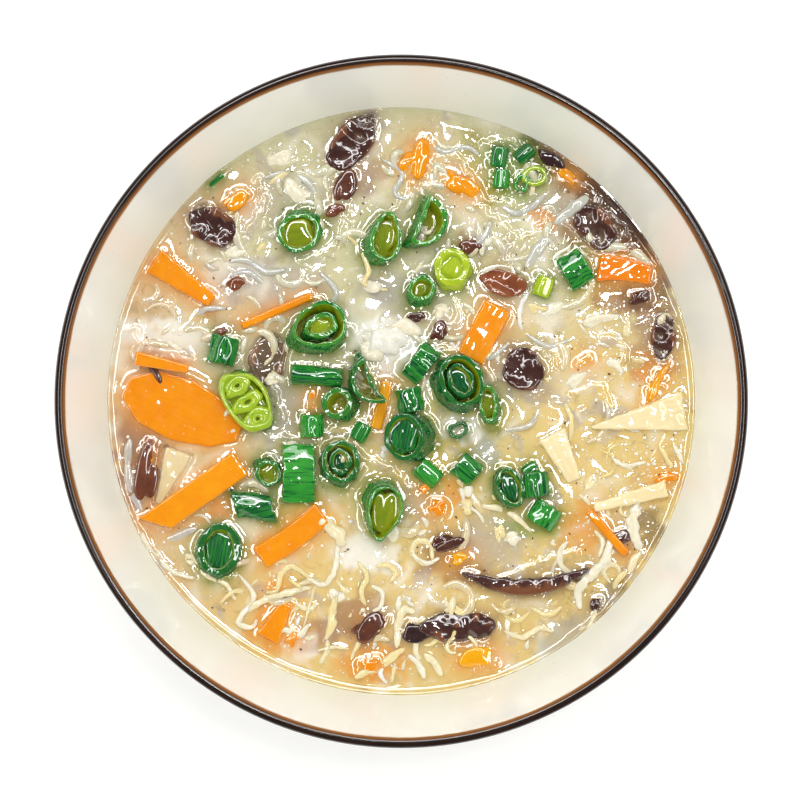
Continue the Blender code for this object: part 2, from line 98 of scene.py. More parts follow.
# Strands: the middle line, width and thickness of each
EGG_RIBBONS = (
    (
        (1.3, 0.7),
        ((-36.2, -38), (-33.1, -41.8), (-32.7, -44), (-34.2, -46), (-36, -48.9), (-33.1, -50), (-31.8, -48)),
    ),
    ((1.5, 0.7), ((-34.2, -46.7), (-30.9, -44.3), (-24.7, -42.3), (-19.8, -41.1))),
    (
        (1.3, 0.8),
        ((-30.2, -42.3), (-27.6, -41.8), (-26.7, -38.5), (-24.7, -36.5), (-22.5, -37.4), (-19.8, -39.6)),
    ),
    (
        (1.4, 0.8),
        ((-21, -39), (-17.4, -40.7), (-15.6, -39.1), (-14.5, -36.3), (-14.1, -32.9), (-13.4, -28.5)),
    ),
    ((3.2, 1.2), ((-18, -26), (-16, -27.6), (-14, -29.4), (-12.6, -32))),
    ((2.0, 0.9), ((-14.3, -42.5), (-15.2, -46.3), (-15.4, -49.6), (-16.9, -52.9))),
    ((2.8, 1.2), ((-15.8, -41.6), (-14.2, -43.4), (-12.4, -43))),
    ((0.8, 0.5), ((-18.5, -55.1), (-15, -54.4), (-11.4, -54.7))),
    ((1.2, 0.8), ((-5.6, -36.7), (-3.2, -36.2), (-1.2, -38), (-2.6, -40))),
    ((1.1, 0.8), ((-6.7, -40.7), (-4.3, -42.2), (-4.4, -45.2), (-6.4, -46.5))),
    ((2.0, 0.8), ((3, -46.7), (0.4, -46.2), (-0.6, -50), (-1, -54.7))),
    ((2.0, 0.8), ((0.8, -54.5), (-4.7, -58.4), (-10.5, -61.2))),
    ((1.6, 0.8), ((1.5, -56), (4, -58.4), (5.2, -61.4))),
    ((1.8, 0.8), ((5, -55.8), (7.4, -58), (9, -60.8))),
    ((1.2, 0.8), ((-12.1, 36.7), (-9, 33.6), (-7.2, 28.7), (-8.1, 25.8), (-2.5, 24.5))),
    ((2.6, 1.0), ((-9.4, 27.2), (-6.6, 25.2), (-4.2, 25.6))),
    ((1.5, 0.8), ((15.4, -22.7), (21.2, -23.6), (24.5, -25), (29.2, -29))),
    ((2.8, 1.2), ((13.4, -21.4), (14.6, -23.4), (14.2, -25.2))),
    ((2.7, 0.8), ((52.4, -21.9), (51.1, -27.6), (52.9, -32.9))),
    ((1.6, 0.8), ((53.3, -33), (51.4, -35.4), (50.2, -38))),
    ((1.6, 0.8), ((49.8, -37.4), (47.6, -40), (46.9, -43))),
    ((2.4, 0.9), ((46.7, -28.5), (45.1, -35.2), (41.8, -38.5), (39.2, -41.8), (39.6, -46.2))),
    ((2.0, 0.9), ((43.1, -46), (41.8, -49.8), (36.7, -52.6))),
    ((1.2, 0.7), ((57, -9.7), (58.4, -12), (60, -14.8))),
    ((1.2, 0.7), ((60, -9.2), (61.4, -11.6), (62.4, -14))),
    ((1.2, 0.8), ((42.7, -28.5), (44.6, -31), (43.6, -34.5))),
    ((1.3, 0.8), ((36.2, -0.4), (37.6, -4), (37.4, -9))),
    ((1.4, 0.8), ((-58, -28), (-55, -33.4), (-50.6, -37.6), (-45.6, -39.2))),
    ((1.1, 0.7), ((-46.6, -33.4), (-43.6, -38.2), (-38.8, -40.4), (-36.6, -44.2))),
    ((1.0, 0.7), ((-40.2, -44.8), (-37.4, -42.2), (-34.8, -41.8), (-31.6, -39.4))),
    ((1.6, 0.8), ((-28.6, -52.2), (-25.8, -50.4), (-22.8, -51.8), (-20.2, -49.2))),
    ((1.2, 0.8), ((-23.4, -44.6), (-20.4, -46.2), (-18.6, -44.4))),
    ((1.2, 0.7), ((-9.6, -35.4), (-7.6, -38.6), (-8.8, -42.2), (-7.8, -45.4))),
    ((1.1, 0.7), ((2.2, -33.6), (5.4, -35.8), (8.6, -34.6))),
    ((1.4, 0.8), ((22.6, -50.8), (26.8, -52.2), (30.6, -50.2), (33.8, -51))),
    ((1.2, 0.7), ((28.4, -45.6), (32.4, -47.2), (35.6, -45.4))),
    ((1.2, 0.7), ((46.4, -12.4), (49.6, -14.2), (54.2, -13.4))),
    ((1.1, 0.7), ((39.2, -20.4), (42.2, -23.6), (41.2, -27.2))),
)
GLASS_NOODLES = (
    ((2.4, 1.0), ((-60, -8), (-60.6, -14), (-59.6, -20), (-57, -25))),
    ((2.2, 1.0), ((-45, -28), (-50, -30), (-54, -31.6))),
    ((3.0, 1.0), ((27.6, 29.4), (30.2, 33.4), (32.8, 36.6))),
    ((2.7, 1.0), ((33.8, 39.2), (37.6, 42.4), (41.6, 45.4))),
    ((1.4, 1.0), ((13.6, 33.2), (17.6, 35.6), (19.6, 39.6), (18.4, 43.4))),
    ((1.6, 1.0), ((-40, 30.6), (-34.6, 31.2), (-29.6, 28.6), (-25.4, 29.2))),
    ((1.5, 1.0), ((-38, 27.6), (-34, 28.6), (-30.4, 26.2), (-27.2, 24.4))),
    ((1.5, 1.0), ((-30.6, 49.4), (-24.4, 50.6), (-19.8, 47.4), (-18.6, 42.6))),
    ((1.4, 1.0), ((-4.4, 53.6), (0.2, 50.4), (-1.4, 46), (2.2, 44.2))),
    ((1.3, 1.0), ((6.2, 57.4), (9.4, 55.2), (14.4, 56.2), (17.4, 54.4))),
    ((1.4, 1.0), ((-18, 28.6), (-14.4, 24.4), (-15.4, 21.4))),
    ((1.5, 1.0), ((21, 44), (25.4, 41.6), (29.6, 43.6), (33.6, 48.4))),
    ((1.4, 1.0), ((14.4, 10.4), (19.6, 9.8), (23.6, 12.6))),
    ((1.3, 1.0), ((27.6, 14.8), (32.4, 12.2), (37.6, 13.6))),
    ((1.4, 1.0), ((22.6, -6.6), (28.4, -5.2), (30.6, -1.4))),
    ((1.4, 1.0), ((-46.6, 16.4), (-43.6, 20.2), (-38.4, 20.6))),
)

# Where the congee's skin is drawn up into a ridge, from one piece to the next
SKINS = (
    ((8.6, 54.0), (12.5, 54.0), (15.7, 49.1), (18.8, 44.6), (24.1, 43.5)),
    ((15.7, 44.6), (18.3, 42.0), (21.9, 39.1), (26.3, 36.2), (30.7, 38.4), (32.5, 42.0)),
    ((26.3, 35.8), (23.6, 32.7), (25.0, 28.7), (26.3, 24.7)),
    (
        (29.8, 56.2), (32.5, 52.2), (35.2, 49.1), (40.5, 47.8),
        (44.5, 45.5), (42.3, 42.0), (48.5, 39.3), (49.8, 36.2),
    ),
    ((18.3, 56.6), (21.9, 57.7), (25.0, 57.1), (27.4, 51.0), (22.0, 46.6)),
    ((36.0, 39.0), (40.6, 36.8), (46.0, 38.4)),
    ((38.4, 34.4), (44.6, 33.0), (51.0, 33.6)),
    ((8.6, 22.9), (11.7, 22.0), (12.6, 18.6), (9.8, 16.4)),
    ((8.6, 11.8), (13.0, 10.5), (17.0, 8.7), (20.2, 4.6)),
    ((28.1, 9.6), (30.7, 11.4), (34.3, 10.5), (35.2, 7.0)),
    ((-20.6, 23.5), (-18.7, 22.5), (-15.2, 18.7), (-9.8, 15.2)),
    ((-12.1, 9.8), (-8.5, 9.2), (-5.4, 3.2)),
    ((-26.9, -7.9), (-19.6, -8.6), (-15.2, -6.3), (-11.4, -7.0), (-9.2, -12.3), (-3.2, -14.5), (1.9, -19.0)),
    ((-38.0, 7.6), (-33.6, 9.2), (-30.4, 6.0), (-28.5, 3.2), (-26.0, -4.0)),
    ((-62.0, 14.8), (-59.0, 16.4), (-57.0, 13.0), (-52.6, 11.4), (-47.0, 9.4)),
    ((-34.6, -4.6), (-30.0, -7.6), (-26.0, -9.6)),
    ((21.0, -40.4), (26.0, -37.4), (32.0, -35.4), (38.4, -33.6)),
    ((-22.0, 31.0), (-16.0, 33.4), (-12.4, 38.6), (-14.6, 44.0)),
    ((-34.0, 37.6), (-30.6, 43.4), (-31.6, 49.0)),
    ((-4.0, 38.0), (-1.0, 42.6), (3.0, 46.4), (7.6, 47.8)),
    ((2.4, 27.6), (6.4, 24.8), (4.0, 20.4)),
    ((44.6, 14.0), (49.4, 12.2), (48.6, 7.4)),
    ((38.4, 1.6), (43.6, 3.4), (46.0, -0.8)),
)

# The pale slice's heading, and its young leaves: how far each is along it, its widths, and its wall
PALE_TURN = -58
PALE_LEAVES = (
    (-4.0, (4.6, 6.6), 0.75),
    (-4.0, (2.2, 3.4), 0.6),
    (0.2, (3.9, 7.8), 0.7),
    (4.5, (4.8, 6.4), 0.5),
    (4.5, (2.5, 3.0), 0.6),
)

STANDING = 0.7  # how upright a leaf's own axis is when it counts as a standing ring

# Which way a standing ring's top leans, as a share of its height
LEANS = {
    "onion_ring_upper_left": (-0.4, -0.45),
    "onion_ring_pointed": (0.5, 0.2),
    "onion_ring_crescent": (0.5, 0.1),
    "onion_ring_dark_small": (0.1, 0.5),
    "onion_ring_pale": (-0.1, 0.4),
    "onion_ring_large": (0.3, 0.4),
    "onion_core_large": (0.3, 0.4),
    "onion_ring_arch": (0.2, -0.2),
    "onion_ring_under_arch": (-0.4, 0.2),
    "onion_ring_dark": (0.3, 0.35),
    "onion_core_dark": (0.3, 0.35),
    "onion_ring_oval": (-0.2, 0.4),
    "onion_ring_tall": (-0.5, 0.2),
    "onion_ring_shaded": (0.2, -0.3),
    "onion_ring_double": (0.15, 0.3),
    "onion_core_double": (0.15, 0.3),
    "onion_ring_teardrop": (0.4, -0.3),
    "onion_ring_closed": (0.1, 0.3),
    "onion_ring_right": (0.3, 0.1),
}

# How dark (0) or pale (1) each piece is, and the usual tone of its kind
TONES = {
    "onion": 0.45,
    "carrot": 0.35,
    "bamboo": 0.3,
    "mushroom": 0.1,
    "egg": 0.0,
    "onion_ring_pale": 1.0,
    "onion_tube_flat": 0.82,
    "onion_tube_centre_left": 0.8,
    "onion_tube_right_lower": 0.7,
    "onion_tube_far_right": 0.6,
    "onion_tube_slanted": 0.3,
    "onion_ring_closed": 0.1,
    "onion_ring_tall": 0.1,
    "onion_ring_dark": 0.12,
    "onion_core_dark": 0.06,
    "onion_ring_double": 0.16,
    "onion_core_double": 0.1,
    "onion_ring_right": 0.14,
    "onion_ring_shaded": 0.24,
    "onion_ring_arch": 0.2,
    "onion_ring_under_arch": 0.3,
    "carrot_yellow": 0.9,
    "carrot_strip_left": 0.5,
    "carrot_strip_right": 0.0,
    "mushroom_flap_rusty": 0.9,
}

# Small bits that lie about: the middle, length, width and thickness, heading, and tone from dark to pale
CARROT_BITS = (
    ((3.4, 53.4), (8.0, 5.0, 2.0), 60, 0.5),
    ((13.4, 47.8), (7.5, 4.0, 2.0), -30, 0.5),
    ((-36.7, 44.2), (5.6, 3.2, 1.8), 40, 0.6),
    ((56.4, 3.9), (8.4, 2.4, 1.6), 64, 0.8),
    ((8.1, -23.6), (3.6, 3.4, 2.0), 0, 0.2),
    ((13.0, -34.6), (4.2, 2.4, 1.6), 20, 0.9),
    ((58.5, -17.0), (4.4, 2.2, 1.6), 10, 0.3),
    ((5.6, -18.9), (3.4, 1.8, 1.4), 34, 0.3),
    ((-27.6, -40.9), (2.4, 1.6, 1.2), 0, 0.4),
    ((17.2, -56.4), (8.0, 4.6, 1.8), -6, 1.0),
    ((-24.0, -52.6), (3.6, 2.4, 1.4), 50, 0.4),
    ((-7.0, -58.4), (5.0, 2.6, 1.6), 16, 0.3),
    ((-7.5, -50.6), (4.0, 2.8, 1.6), 70, 0.4),
    ((-19.6, 0.4), (4.2, 2.0, 1.4), 80, 0.3),
    ((36.6, 50.2), (4.6, 2.2, 1.4), -40, 0.6),
    ((40.4, 8.6), (3.4, 1.4, 1.2), 30, 0.7),
    ((-55.2, -12.4), (3.6, 2.0, 1.4), 70, 0.4),
)
MUSHROOM_BITS = (
    ((10.1, -31.3), (6.6, 3.0, 1.4), 8, 0.2),
    ((8.4, 15.6), (4.4, 3.2, 1.4), 60, 0.3),
    ((-12.3, 47.5), (7.4, 4.2, 1.6), 74, 0.3),
    ((33.4, 54.0), (6.4, 3.8, 1.4), -30, 0.0),
    ((52.9, 22.9), (4.6, 2.6, 1.2), 20, 0.2),
    ((-36.2, 26.2), (4.8, 2.6, 1.2), 14, 0.7),
    ((-14.7, 42.2), (4.0, 2.4, 1.2), 20, 0.6),
    ((15.4, 34.2), (4.4, 3.0, 1.2), -10, 0.4),
    ((3.4, -51.2), (6.4, 4.2, 1.2), 4, 0.0),
    ((-6.8, -49.6), (8.6, 4.6, 1.2), 38, 0.3),
    ((48.5, -30.4), (5.0, 3.6, 1.2), 30, 0.2),
    ((43.0, -45.0), (3.0, 2.0, 1.0), 70, 0.1),
    ((-56.4, -16.4), (12.0, 5.2, 1.4), 78, 0.5),
    ((-54.4, 6.4), (5.0, 1.6, 1.0), -60, 0.3),
    ((-39.8, 15.4), (2.8, 1.8, 1.0), 30, 0.6),
    ((3.4, 18.6), (4.0, 2.2, 1.0), 10, 0.1),
)
ONION_BITS = (  # the middle, length along the leaf, width and thickness, heading, and tone
    ((5.9, -16.0), (5.6, 4.4, 2.4), -40, 0.8),
    ((21.6, 54.0), (4.6, 3.8, 2.4), 80, 0.4),
    ((22.1, 49.2), (4.2, 3.8, 2.4), 84, 0.7),
    ((27.2, 54.8), (4.4, 3.6, 2.2), 40, 0.2),
    ((-9.0, -6.8), (4.0, 3.6, 2.0), 60, 0.6),
    ((31.4, 25.4), (4.6, 4.0, 2.0), 70, 1.0),
    ((-41.0, 49.0), (3.8, 1.4, 1.0), 40, 0.4),
    ((28.6, -15.2), (3.4, 3.2, 2.0), 30, 0.6),
)
ONION_HOOPS = (  # small rings: the middle, width across, height, tone
    ((29.4, 49.8), (5.6, 4.6), 2.6, 1.0),
    ((12.6, -6.4), (4.6, 3.6), 2.6, 0.2),
    ((26.6, 48.2), (4.0, 3.4), 2.4, 0.8),
)
WHITE_LUMPS = (  # egg white and starch: the middle, size and heading
    ((9.0, 20.0), (4.0, 3.8, 2.2), 0),
    ((-27.0, 54.0), (6.0, 4.0, 1.8), 30),
    ((-23.0, 46.0), (7.0, 4.4, 1.8), -40),
    ((-15.4, -1.6), (3.2, 2.8, 1.6), 0),
    ((-6.6, 11.4), (6.4, 4.6, 2.6), 24),
    ((0.4, 16.2), (8.4, 4.0, 2.6), -16),
    ((-36.6, 33.0), (5.6, 2.4, 1.4), 12),
    ((-38.6, -2.8), (3.4, 3.2, 1.8), 0),
    ((-28.6, 4.6), (3.6, 3.0, 1.6), 60),
    ((-24.2, -9.8), (4.0, 3.2, 1.6), 40),
    ((-37.4, -6.8), (3.2, 2.4, 1.4), 20),
    ((33.6, 20.4), (5.0, 3.0, 1.4), 30),
    ((44.2, 18.2), (8.0, 3.4, 1.6), 8),
    ((38.6, 4.8), (6.0, 3.0, 1.4), 40),
    ((47.6, 8.2), (5.0, 2.6, 1.4), -30),
    ((24.8, -30.2), (4.4, 3.0, 1.4), 10),
    ((-2.0, -29.0), (4.2, 3.0, 1.4), 80),
)

# What is sunk and shows through: its colour, middle, length and width, heading, and strength
SUNK_COLOURS = {
    "dark": (58, 42, 40),
    "brown": (150, 96, 56),
    "mauve": (158, 116, 98),
    "grey": (172, 168, 158),
    "blue": (136, 162, 186),
    "green": (104, 150, 60),
    "olive": (160, 156, 60),
    "orange": (234, 142, 36),
    "cream": (244, 234, 204),
    "white": (252, 250, 240),
}
SUNK = (
    ("grey", (37.0, 44.5), (16.0, 12.0), 20, 0.7),
    ("brown", (45.0, 36.0), (22.0, 9.0), -15, 0.8),
    ("brown", (50.3, 23.2), (20.0, 11.0), -20, 0.7),
    ("dark", (31.0, 54.5), (13.0, 7.0), -40, 0.9),
    ("dark", (49.0, 40.0), (22.0, 8.0), -55, 0.9),
    ("dark", (53.0, 23.0), (9.0, 5.0), -30, 0.6),
    ("mauve", (56.0, 11.0), (18.0, 12.0), 90, 0.5),
    ("orange", (54.6, 8.6), (9.0, 5.0), 60, 0.5),
    ("orange", (30.5, 40.4), (8.0, 4.0), -30, 0.6),
    ("brown", (15.4, 34.4), (7.0, 5.0), 0, 0.7),
    ("green", (23.8, 50.5), (15.0, 12.0), 90, 0.6),
    ("olive", (15.8, 54.5), (13.0, 7.0), 100, 0.5),
    ("olive", (19.3, 46.2), (8.0, 5.0), 20, 0.7),
    ("cream", (12.0, 43.8), (12.0, 7.0), -10, 0.7),
    ("cream", (29.8, 20.7), (12.0, 9.0), 0, 0.7),
    ("cream", (40.0, 5.6), (14.0, 8.0), 20, 0.5),
    ("grey", (24.3, 7.2), (12.0, 12.0), 0, 0.6),
    ("cream", (20.6, 5.0), (9.0, 3.6), 40, 0.8),
    ("white", (-2.0, 12.4), (22.0, 12.0), -20, 0.95),
    ("white", (13.2, -5.6), (10.0, 8.0), 0, 0.8),
    ("grey", (3.6, -21.9), (13.0, 12.0), 0, 0.6),
    ("blue", (18.5, -10.7), (6.0, 10.0), 0, 0.5),
    ("brown", (11.4, -36.8), (16.0, 7.0), -20, 0.6),
    ("grey", (20.2, -30.8), (17.0, 13.0), 0, 0.6),
    ("orange", (11.9, -20.4), (8.0, 7.0), 0, 0.6),
    ("orange", (39.6, -28.2), (12.0, 12.0), 0, 0.45),
    ("green", (27.9, -27.6), (12.0, 6.0), 0, 0.5),
    ("dark", (55.0, -28.5), (7.0, 11.0), 0, 0.55),
    ("dark", (46.2, -43.4), (12.0, 6.0), 50, 0.5),
    ("grey", (36.0, -52.0), (16.0, 8.0), 30, 0.6),
    ("white", (-7.9, -33.5), (16.0, 9.0), 0, 0.75),
    ("mauve", (-57.5, -9.0), (30.0, 12.0), 80, 0.85),
    ("white", (-52.0, 13.6), (24.0, 9.0), -8, 0.7),
    ("white", (-36.0, 27.0), (20.0, 9.0), 10, 0.5),
    ("grey", (-25.5, -1.0), (12.0, 18.0), 0, 0.8),
    ("cream", (-33.5, -27.4), (10.0, 6.0), -60, 0.9),
    ("orange", (-29.2, -49.0), (9.0, 14.0), 0, 0.6),
    ("white", (-22.2, -54.5), (9.0, 8.0), 0, 0.8),
    ("mauve", (-13.2, -48.6), (20.0, 9.0), 30, 0.7),
    ("orange", (-5.9, -58.0), (18.0, 8.0), 0, 0.6),
    ("orange", (-40.0, -24.0), (10.0, 6.0), 30, 0.7),
    ("orange", (-24.0, -27.0), (20.0, 10.0), 36, 0.35),
    ("green", (-23.0, -20.0), (18.0, 10.0), 0, 0.5),
    ("dark", (38.0, 50.0), (14.0, 9.0), -50, 0.8),
    ("dark", (45.0, 43.5), (16.0, 10.0), -46, 0.9),
    ("dark", (51.5, 35.5), (14.0, 9.0), -60, 0.9),
    ("dark", (56.5, 27.0), (12.0, 7.0), -65, 0.7),
    ("grey", (-24.0, 24.0), (18.0, 14.0), 30, 0.6),
    ("grey", (-26.0, 44.0), (16.0, 16.0), 0, 0.5),
    ("mauve", (-8.0, 50.0), (12.0, 8.0), 30, 0.5),
    ("grey", (0.0, 24.0), (22.0, 10.0), -10, 0.6),
)

# The leaf that fills each ring: whether it shows its skin (1), its flesh (0) or its inside (-1), and its tone
FILLED = {
    "onion_ring_upper_left": (-1.0, 0.4),
    "onion_ring_pointed": (-1.0, 0.2),
    "onion_ring_dark_small": (-1.0, 0.0),
    "onion_ring_pale": (1.0, 1.0),
    "onion_core_large": (-1.0, 0.9),
    "onion_core_dark": (1.0, 0.0),
    "onion_ring_tall": (1.0, 0.2),
    "onion_ring_shaded": (-1.0, 0.2),
    "onion_core_double": (1.0, 0.0),
    "onion_ring_teardrop": (-1.0, 0.86),
    "onion_ring_closed": (1.0, 0.3),
    "onion_ring_right": (1.0, 0.1),
    "onion_ring_oval": (-1.0, 0.1),
}

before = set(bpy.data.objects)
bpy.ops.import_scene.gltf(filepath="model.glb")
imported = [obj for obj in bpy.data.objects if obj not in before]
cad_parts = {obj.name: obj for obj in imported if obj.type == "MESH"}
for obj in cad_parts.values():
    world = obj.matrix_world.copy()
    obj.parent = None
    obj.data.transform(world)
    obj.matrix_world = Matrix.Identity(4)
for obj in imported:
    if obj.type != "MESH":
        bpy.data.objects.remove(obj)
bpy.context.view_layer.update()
RIM_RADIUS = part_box("bowl")[1].x / MM
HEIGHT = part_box("bowl")[1].z / MM


def low_pieces():
    """The middle and the reach of each CAD piece that lies low in the congee."""
    found = []
    for node in ("mushroom_by_ring", "bamboo_under_carrot", "carrot_big_slice", "mushroom_flap_top"):
        low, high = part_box(node)
        middle = (low + high) / 2 / MM
        found.append(((middle.x, middle.y), (high - low).length / 2 / MM * 0.8))
    return found


LOW_PIECES = low_pieces()


def kind(word):
    """The CAD nodes whose names start with a word."""
    return [name for name in sorted(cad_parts) if name.startswith(word) and name != "onion_slice_pale"]


# ---------------------------------------------------------------- materials

WET = {"specular_ior_level": 0.08, "coat_roughness": 0.05}
MILKY = {"subsurface_radius": (1.0, 0.8, 0.5), "subsurface_scale": 0.0015}


def tint(red, green, blue):
    """A colour of 0 to 255 as the linear one that a socket takes."""
    parts = [part / 255 for part in (red, green, blue)]
    return (*(p / 12.92 if p <= 0.04045 else ((p + 0.055) / 1.055) ** 2.4 for p in parts), 1.0)


class Signal:
    """One output of a material's nodes. Arithmetic on it adds Math nodes."""

    def __init__(self, graph, socket):
        self.graph = graph
        self.socket = socket

    def math(self, operation, first, second):
        return self.graph.node("ShaderNodeMath", {"operation": operation}, {0: first, 1: second})

    def __add__(self, other):
        return self.math("ADD", self, other)

    def __sub__(self, other):
        return self.math("SUBTRACT", self, other)

    def __rsub__(self, other):
        return self.math("SUBTRACT", other, self)

    def __mul__(self, other):
        return self.math("MULTIPLY", self, other)

    def most(self, other):
        return self.math("MAXIMUM", self, other)

    __radd__ = __add__
    __rmul__ = __mul__


class Graph:
    """A node tree being built."""

    def __init__(self, tree):
        self.tree = tree

    def node(self, kind_of_node, settings=None, sockets=None, output=0):
        """Adds a node, with its settings first and then the values or links of its sockets."""
        made = self.tree.nodes.new(kind_of_node)
        for key, value in (settings or {}).items():
            setattr(made, key, value)
        for key, value in (sockets or {}).items():
            if isinstance(value, Signal):
                self.tree.links.new(value.socket, made.inputs[key])
            else:
                made.inputs[key].default_value = value
        return Signal(self, made.outputs[output])

    def step(self, value, low, high):
        """0 below low and 1 above high, smooth between; high may be the lower one."""
        values = {0: value, 1: low, 2: high, 3: 0.0, 4: 1.0}
        if high < low:
            values = {0: value, 1: high, 2: low, 3: 1.0, 4: 0.0}
        return self.node("ShaderNodeMapRange", {"interpolation_type": "SMOOTHSTEP"}, values)


class Finish(Graph):
    """A material being made, with its Principled shader's constant values."""

    def __init__(self, name, **constants):
        self.material = bpy.data.materials.new(name)
        self.material.use_nodes = True
        super().__init__(self.material.node_tree)
        self.shader = self.tree.nodes["Principled BSDF"]
        for key, value in constants.items():
            self.shader.inputs[key.replace("_", " ").title().replace("Ior", "IOR")].default_value = value
        self.place = self.node("ShaderNodeTexCoord", output="Object")

    def read(self, name, output="Fac"):
        return self.node("ShaderNodeAttribute", {"attribute_name": name}, output=output)

    def scaled(self, vector, factors):
        """A vector in metres, as millimetres times the factor along each of its axes."""
        factors = tuple(factor / MM for factor in factors)
        return self.node("ShaderNodeVectorMath", {"operation": "MULTIPLY"}, {0: vector, 1: factors})

    def noise(self, size, detail=2.0, roughness=0.5, distortion=0.0):
        """Cloudy noise from 0 to 1 whose features are about size millimetres."""
        return self.streaks(self.place, size, detail, 1.0, roughness, distortion)

    def streaks(self, grain, size, detail, along, roughness=0.5, distortion=0.0):
        """The same noise on a piece's own grain, where a small along draws it out lengthways."""
        values = {
            "Vector": self.scaled(grain, (1.0, 1.0, along)),
            "Scale": 1 / size,
            "Detail": detail,
            "Roughness": roughness,
            "Distortion": distortion,
        }
        return self.node("ShaderNodeTexNoise", None, values)

    def cells(self, size):
        """The distance to the nearest of many scattered points, as a share of their spacing."""
        values = {"Vector": self.scaled(self.place, (1.0, 1.0, 1.0)), "Scale": 1 / size}
        return self.node("ShaderNodeTexVoronoi", None, values, "Distance")

    def dots(self, size, most, least, patch, low, high):
        """Small round dots, 1 inside and 0 outside, that come in patches."""
        return self.step(self.cells(size), most, least) * self.step(self.noise(patch), low, high)

    def mix(self, factor, one, other):
        one, other = (part if isinstance(part, Signal) else tint(*part) for part in (one, other))
        settings = {"data_type": "RGBA", "clamp_factor": True}
        return self.node("ShaderNodeMix", settings, {0: factor, 6: one, 7: other}, 2)

    def position(self, axis):
        """The place along x, y or z (0, 1 or 2), in millimetres."""
        return self.node("ShaderNodeSeparateXYZ", None, {0: self.place}, axis) * (1 / MM)

    def radius(self):
        sockets = {0: self.place, 1: (1.0, 1.0, 0.0)}
        flat = self.node("ShaderNodeVectorMath", {"operation": "MULTIPLY"}, sockets)
        return self.node("ShaderNodeVectorMath", {"operation": "LENGTH"}, {0: flat}, "Value") * (1 / MM)

    def done(self, colour, roughness=None, relief=None, depth=0.1, coat=None):
        """Joins up the shader. relief is a height of 0 to 1, and depth what 1 is in millimetres."""
        self.tree.links.new(colour.socket, self.shader.inputs["Base Color"])
        for name, value in (("Roughness", roughness), ("Coat Weight", coat)):
            if isinstance(value, Signal):
                self.tree.links.new(value.socket, self.shader.inputs[name])
            elif value is not None:
                self.shader.inputs[name].default_value = value
        if relief:
            values = {"Height": relief, "Distance": depth * MM, "Strength": 1.0}
            bump = self.node("ShaderNodeBump", None, values)
            self.tree.links.new(bump.socket, self.shader.inputs["Normal"])
        return self.material


def make_glaze():
    """Cream glaze, warmer low down inside and darker there, partly as painted shade near the congee, greyer
    outside as painted shade, a dark iron glaze over the lip, and bare clay under the foot.
    """
    glaze = Finish("cream_glaze", coat_roughness=0.06, specular_ior_level=0.45)
    height, radius = glaze.position(2), glaze.radius()
    mottle = glaze.noise(9.0, detail=4.0)
    fine = glaze.noise(0.7, detail=2.0)
    # Darker and warmer low down: partly the glaze's own tone, partly painted shade near the congee.
    cream = glaze.mix(glaze.step(height, *CREAM_RISES), (236, 236, 220), (252, 252, 246))
    cream = glaze.mix(mottle * 0.3, cream, (242, 238, 222))
    # Greyer cream on the outside: painted shade on the side that faces away from the lamps.
    cream = glaze.mix(glaze.read("outside"), cream, glaze.mix(mottle, (212, 209, 190), (220, 217, 200)))
    specks = glaze.step(glaze.cells(3.1), 0.085, 0.04) * glaze.step(fine, 0.45, 0.6)
    cream = glaze.mix(specks * 0.35, cream, (176, 150, 110))

    wander = (glaze.noise(6.0, detail=3.0) - 0.5) * 0.5
    over_lip = glaze.step(height + wander, HEIGHT - LIP_BAND[0], HEIGHT - LIP_BAND[1])
    from_edge = radius + wander * 0.3 - (RIM_RADIUS - 2 * LIP_RADIUS)
    lip = glaze.step(from_edge, -0.12, 0.16) * over_lip
    body = glaze.step(from_edge, 0.3, 0.9)
    iron = glaze.mix(body, (142, 88, 42), glaze.mix(mottle, (24, 16, 13), (50, 33, 25)))
    colour = glaze.mix(lip, cream, iron)

    bare = glaze.step(height + wander, *BARE_ABOVE) * glaze.step(radius, *BARE_BEYOND)
    clay = glaze.mix(glaze.noise(0.5, detail=3.0), (176, 142, 104), (206, 178, 140))
    colour = glaze.mix(bare, colour, clay)
    roughness = 0.15 + bare * 0.55 - lip * 0.06 + fine * 0.04
    relief = mottle * 0.7 + fine * 0.04 + bare * fine * 0.3
    return glaze.done(colour, roughness, relief, depth=0.12, coat=0.4 - bare * 0.4)


def congee_colour(finish):
    """The congee's own mottled colour, without what floats in it."""
    right, back = finish.position(0), finish.position(1)
    cloud = finish.noise(13.0, detail=3.0, distortion=0.6)
    small = finish.noise(3.4, detail=4.0, roughness=0.6, distortion=0.8)
    warmth = finish.step(right * 0.008 - back * 0.014 + cloud, 0.2, 0.95)
    base = finish.mix(warmth, (214, 208, 166), (230, 202, 132))
    rosy = finish.step(right * -0.014 + cloud, 0.8, 1.5)
    base = finish.mix(rosy * 0.8, base, (226, 184, 140))
    grey = finish.step(finish.noise(8.0, detail=2.0, distortion=1.0), 0.56, 0.7)
    base = finish.mix(grey * 0.7, base, (190, 180, 170))
    base = finish.mix(finish.step(small, 0.55, 0.78) * 0.75, base, (242, 232, 200))
    return finish.mix(finish.step(small, 0.47, 0.2) * 0.7, base, (158, 138, 84))


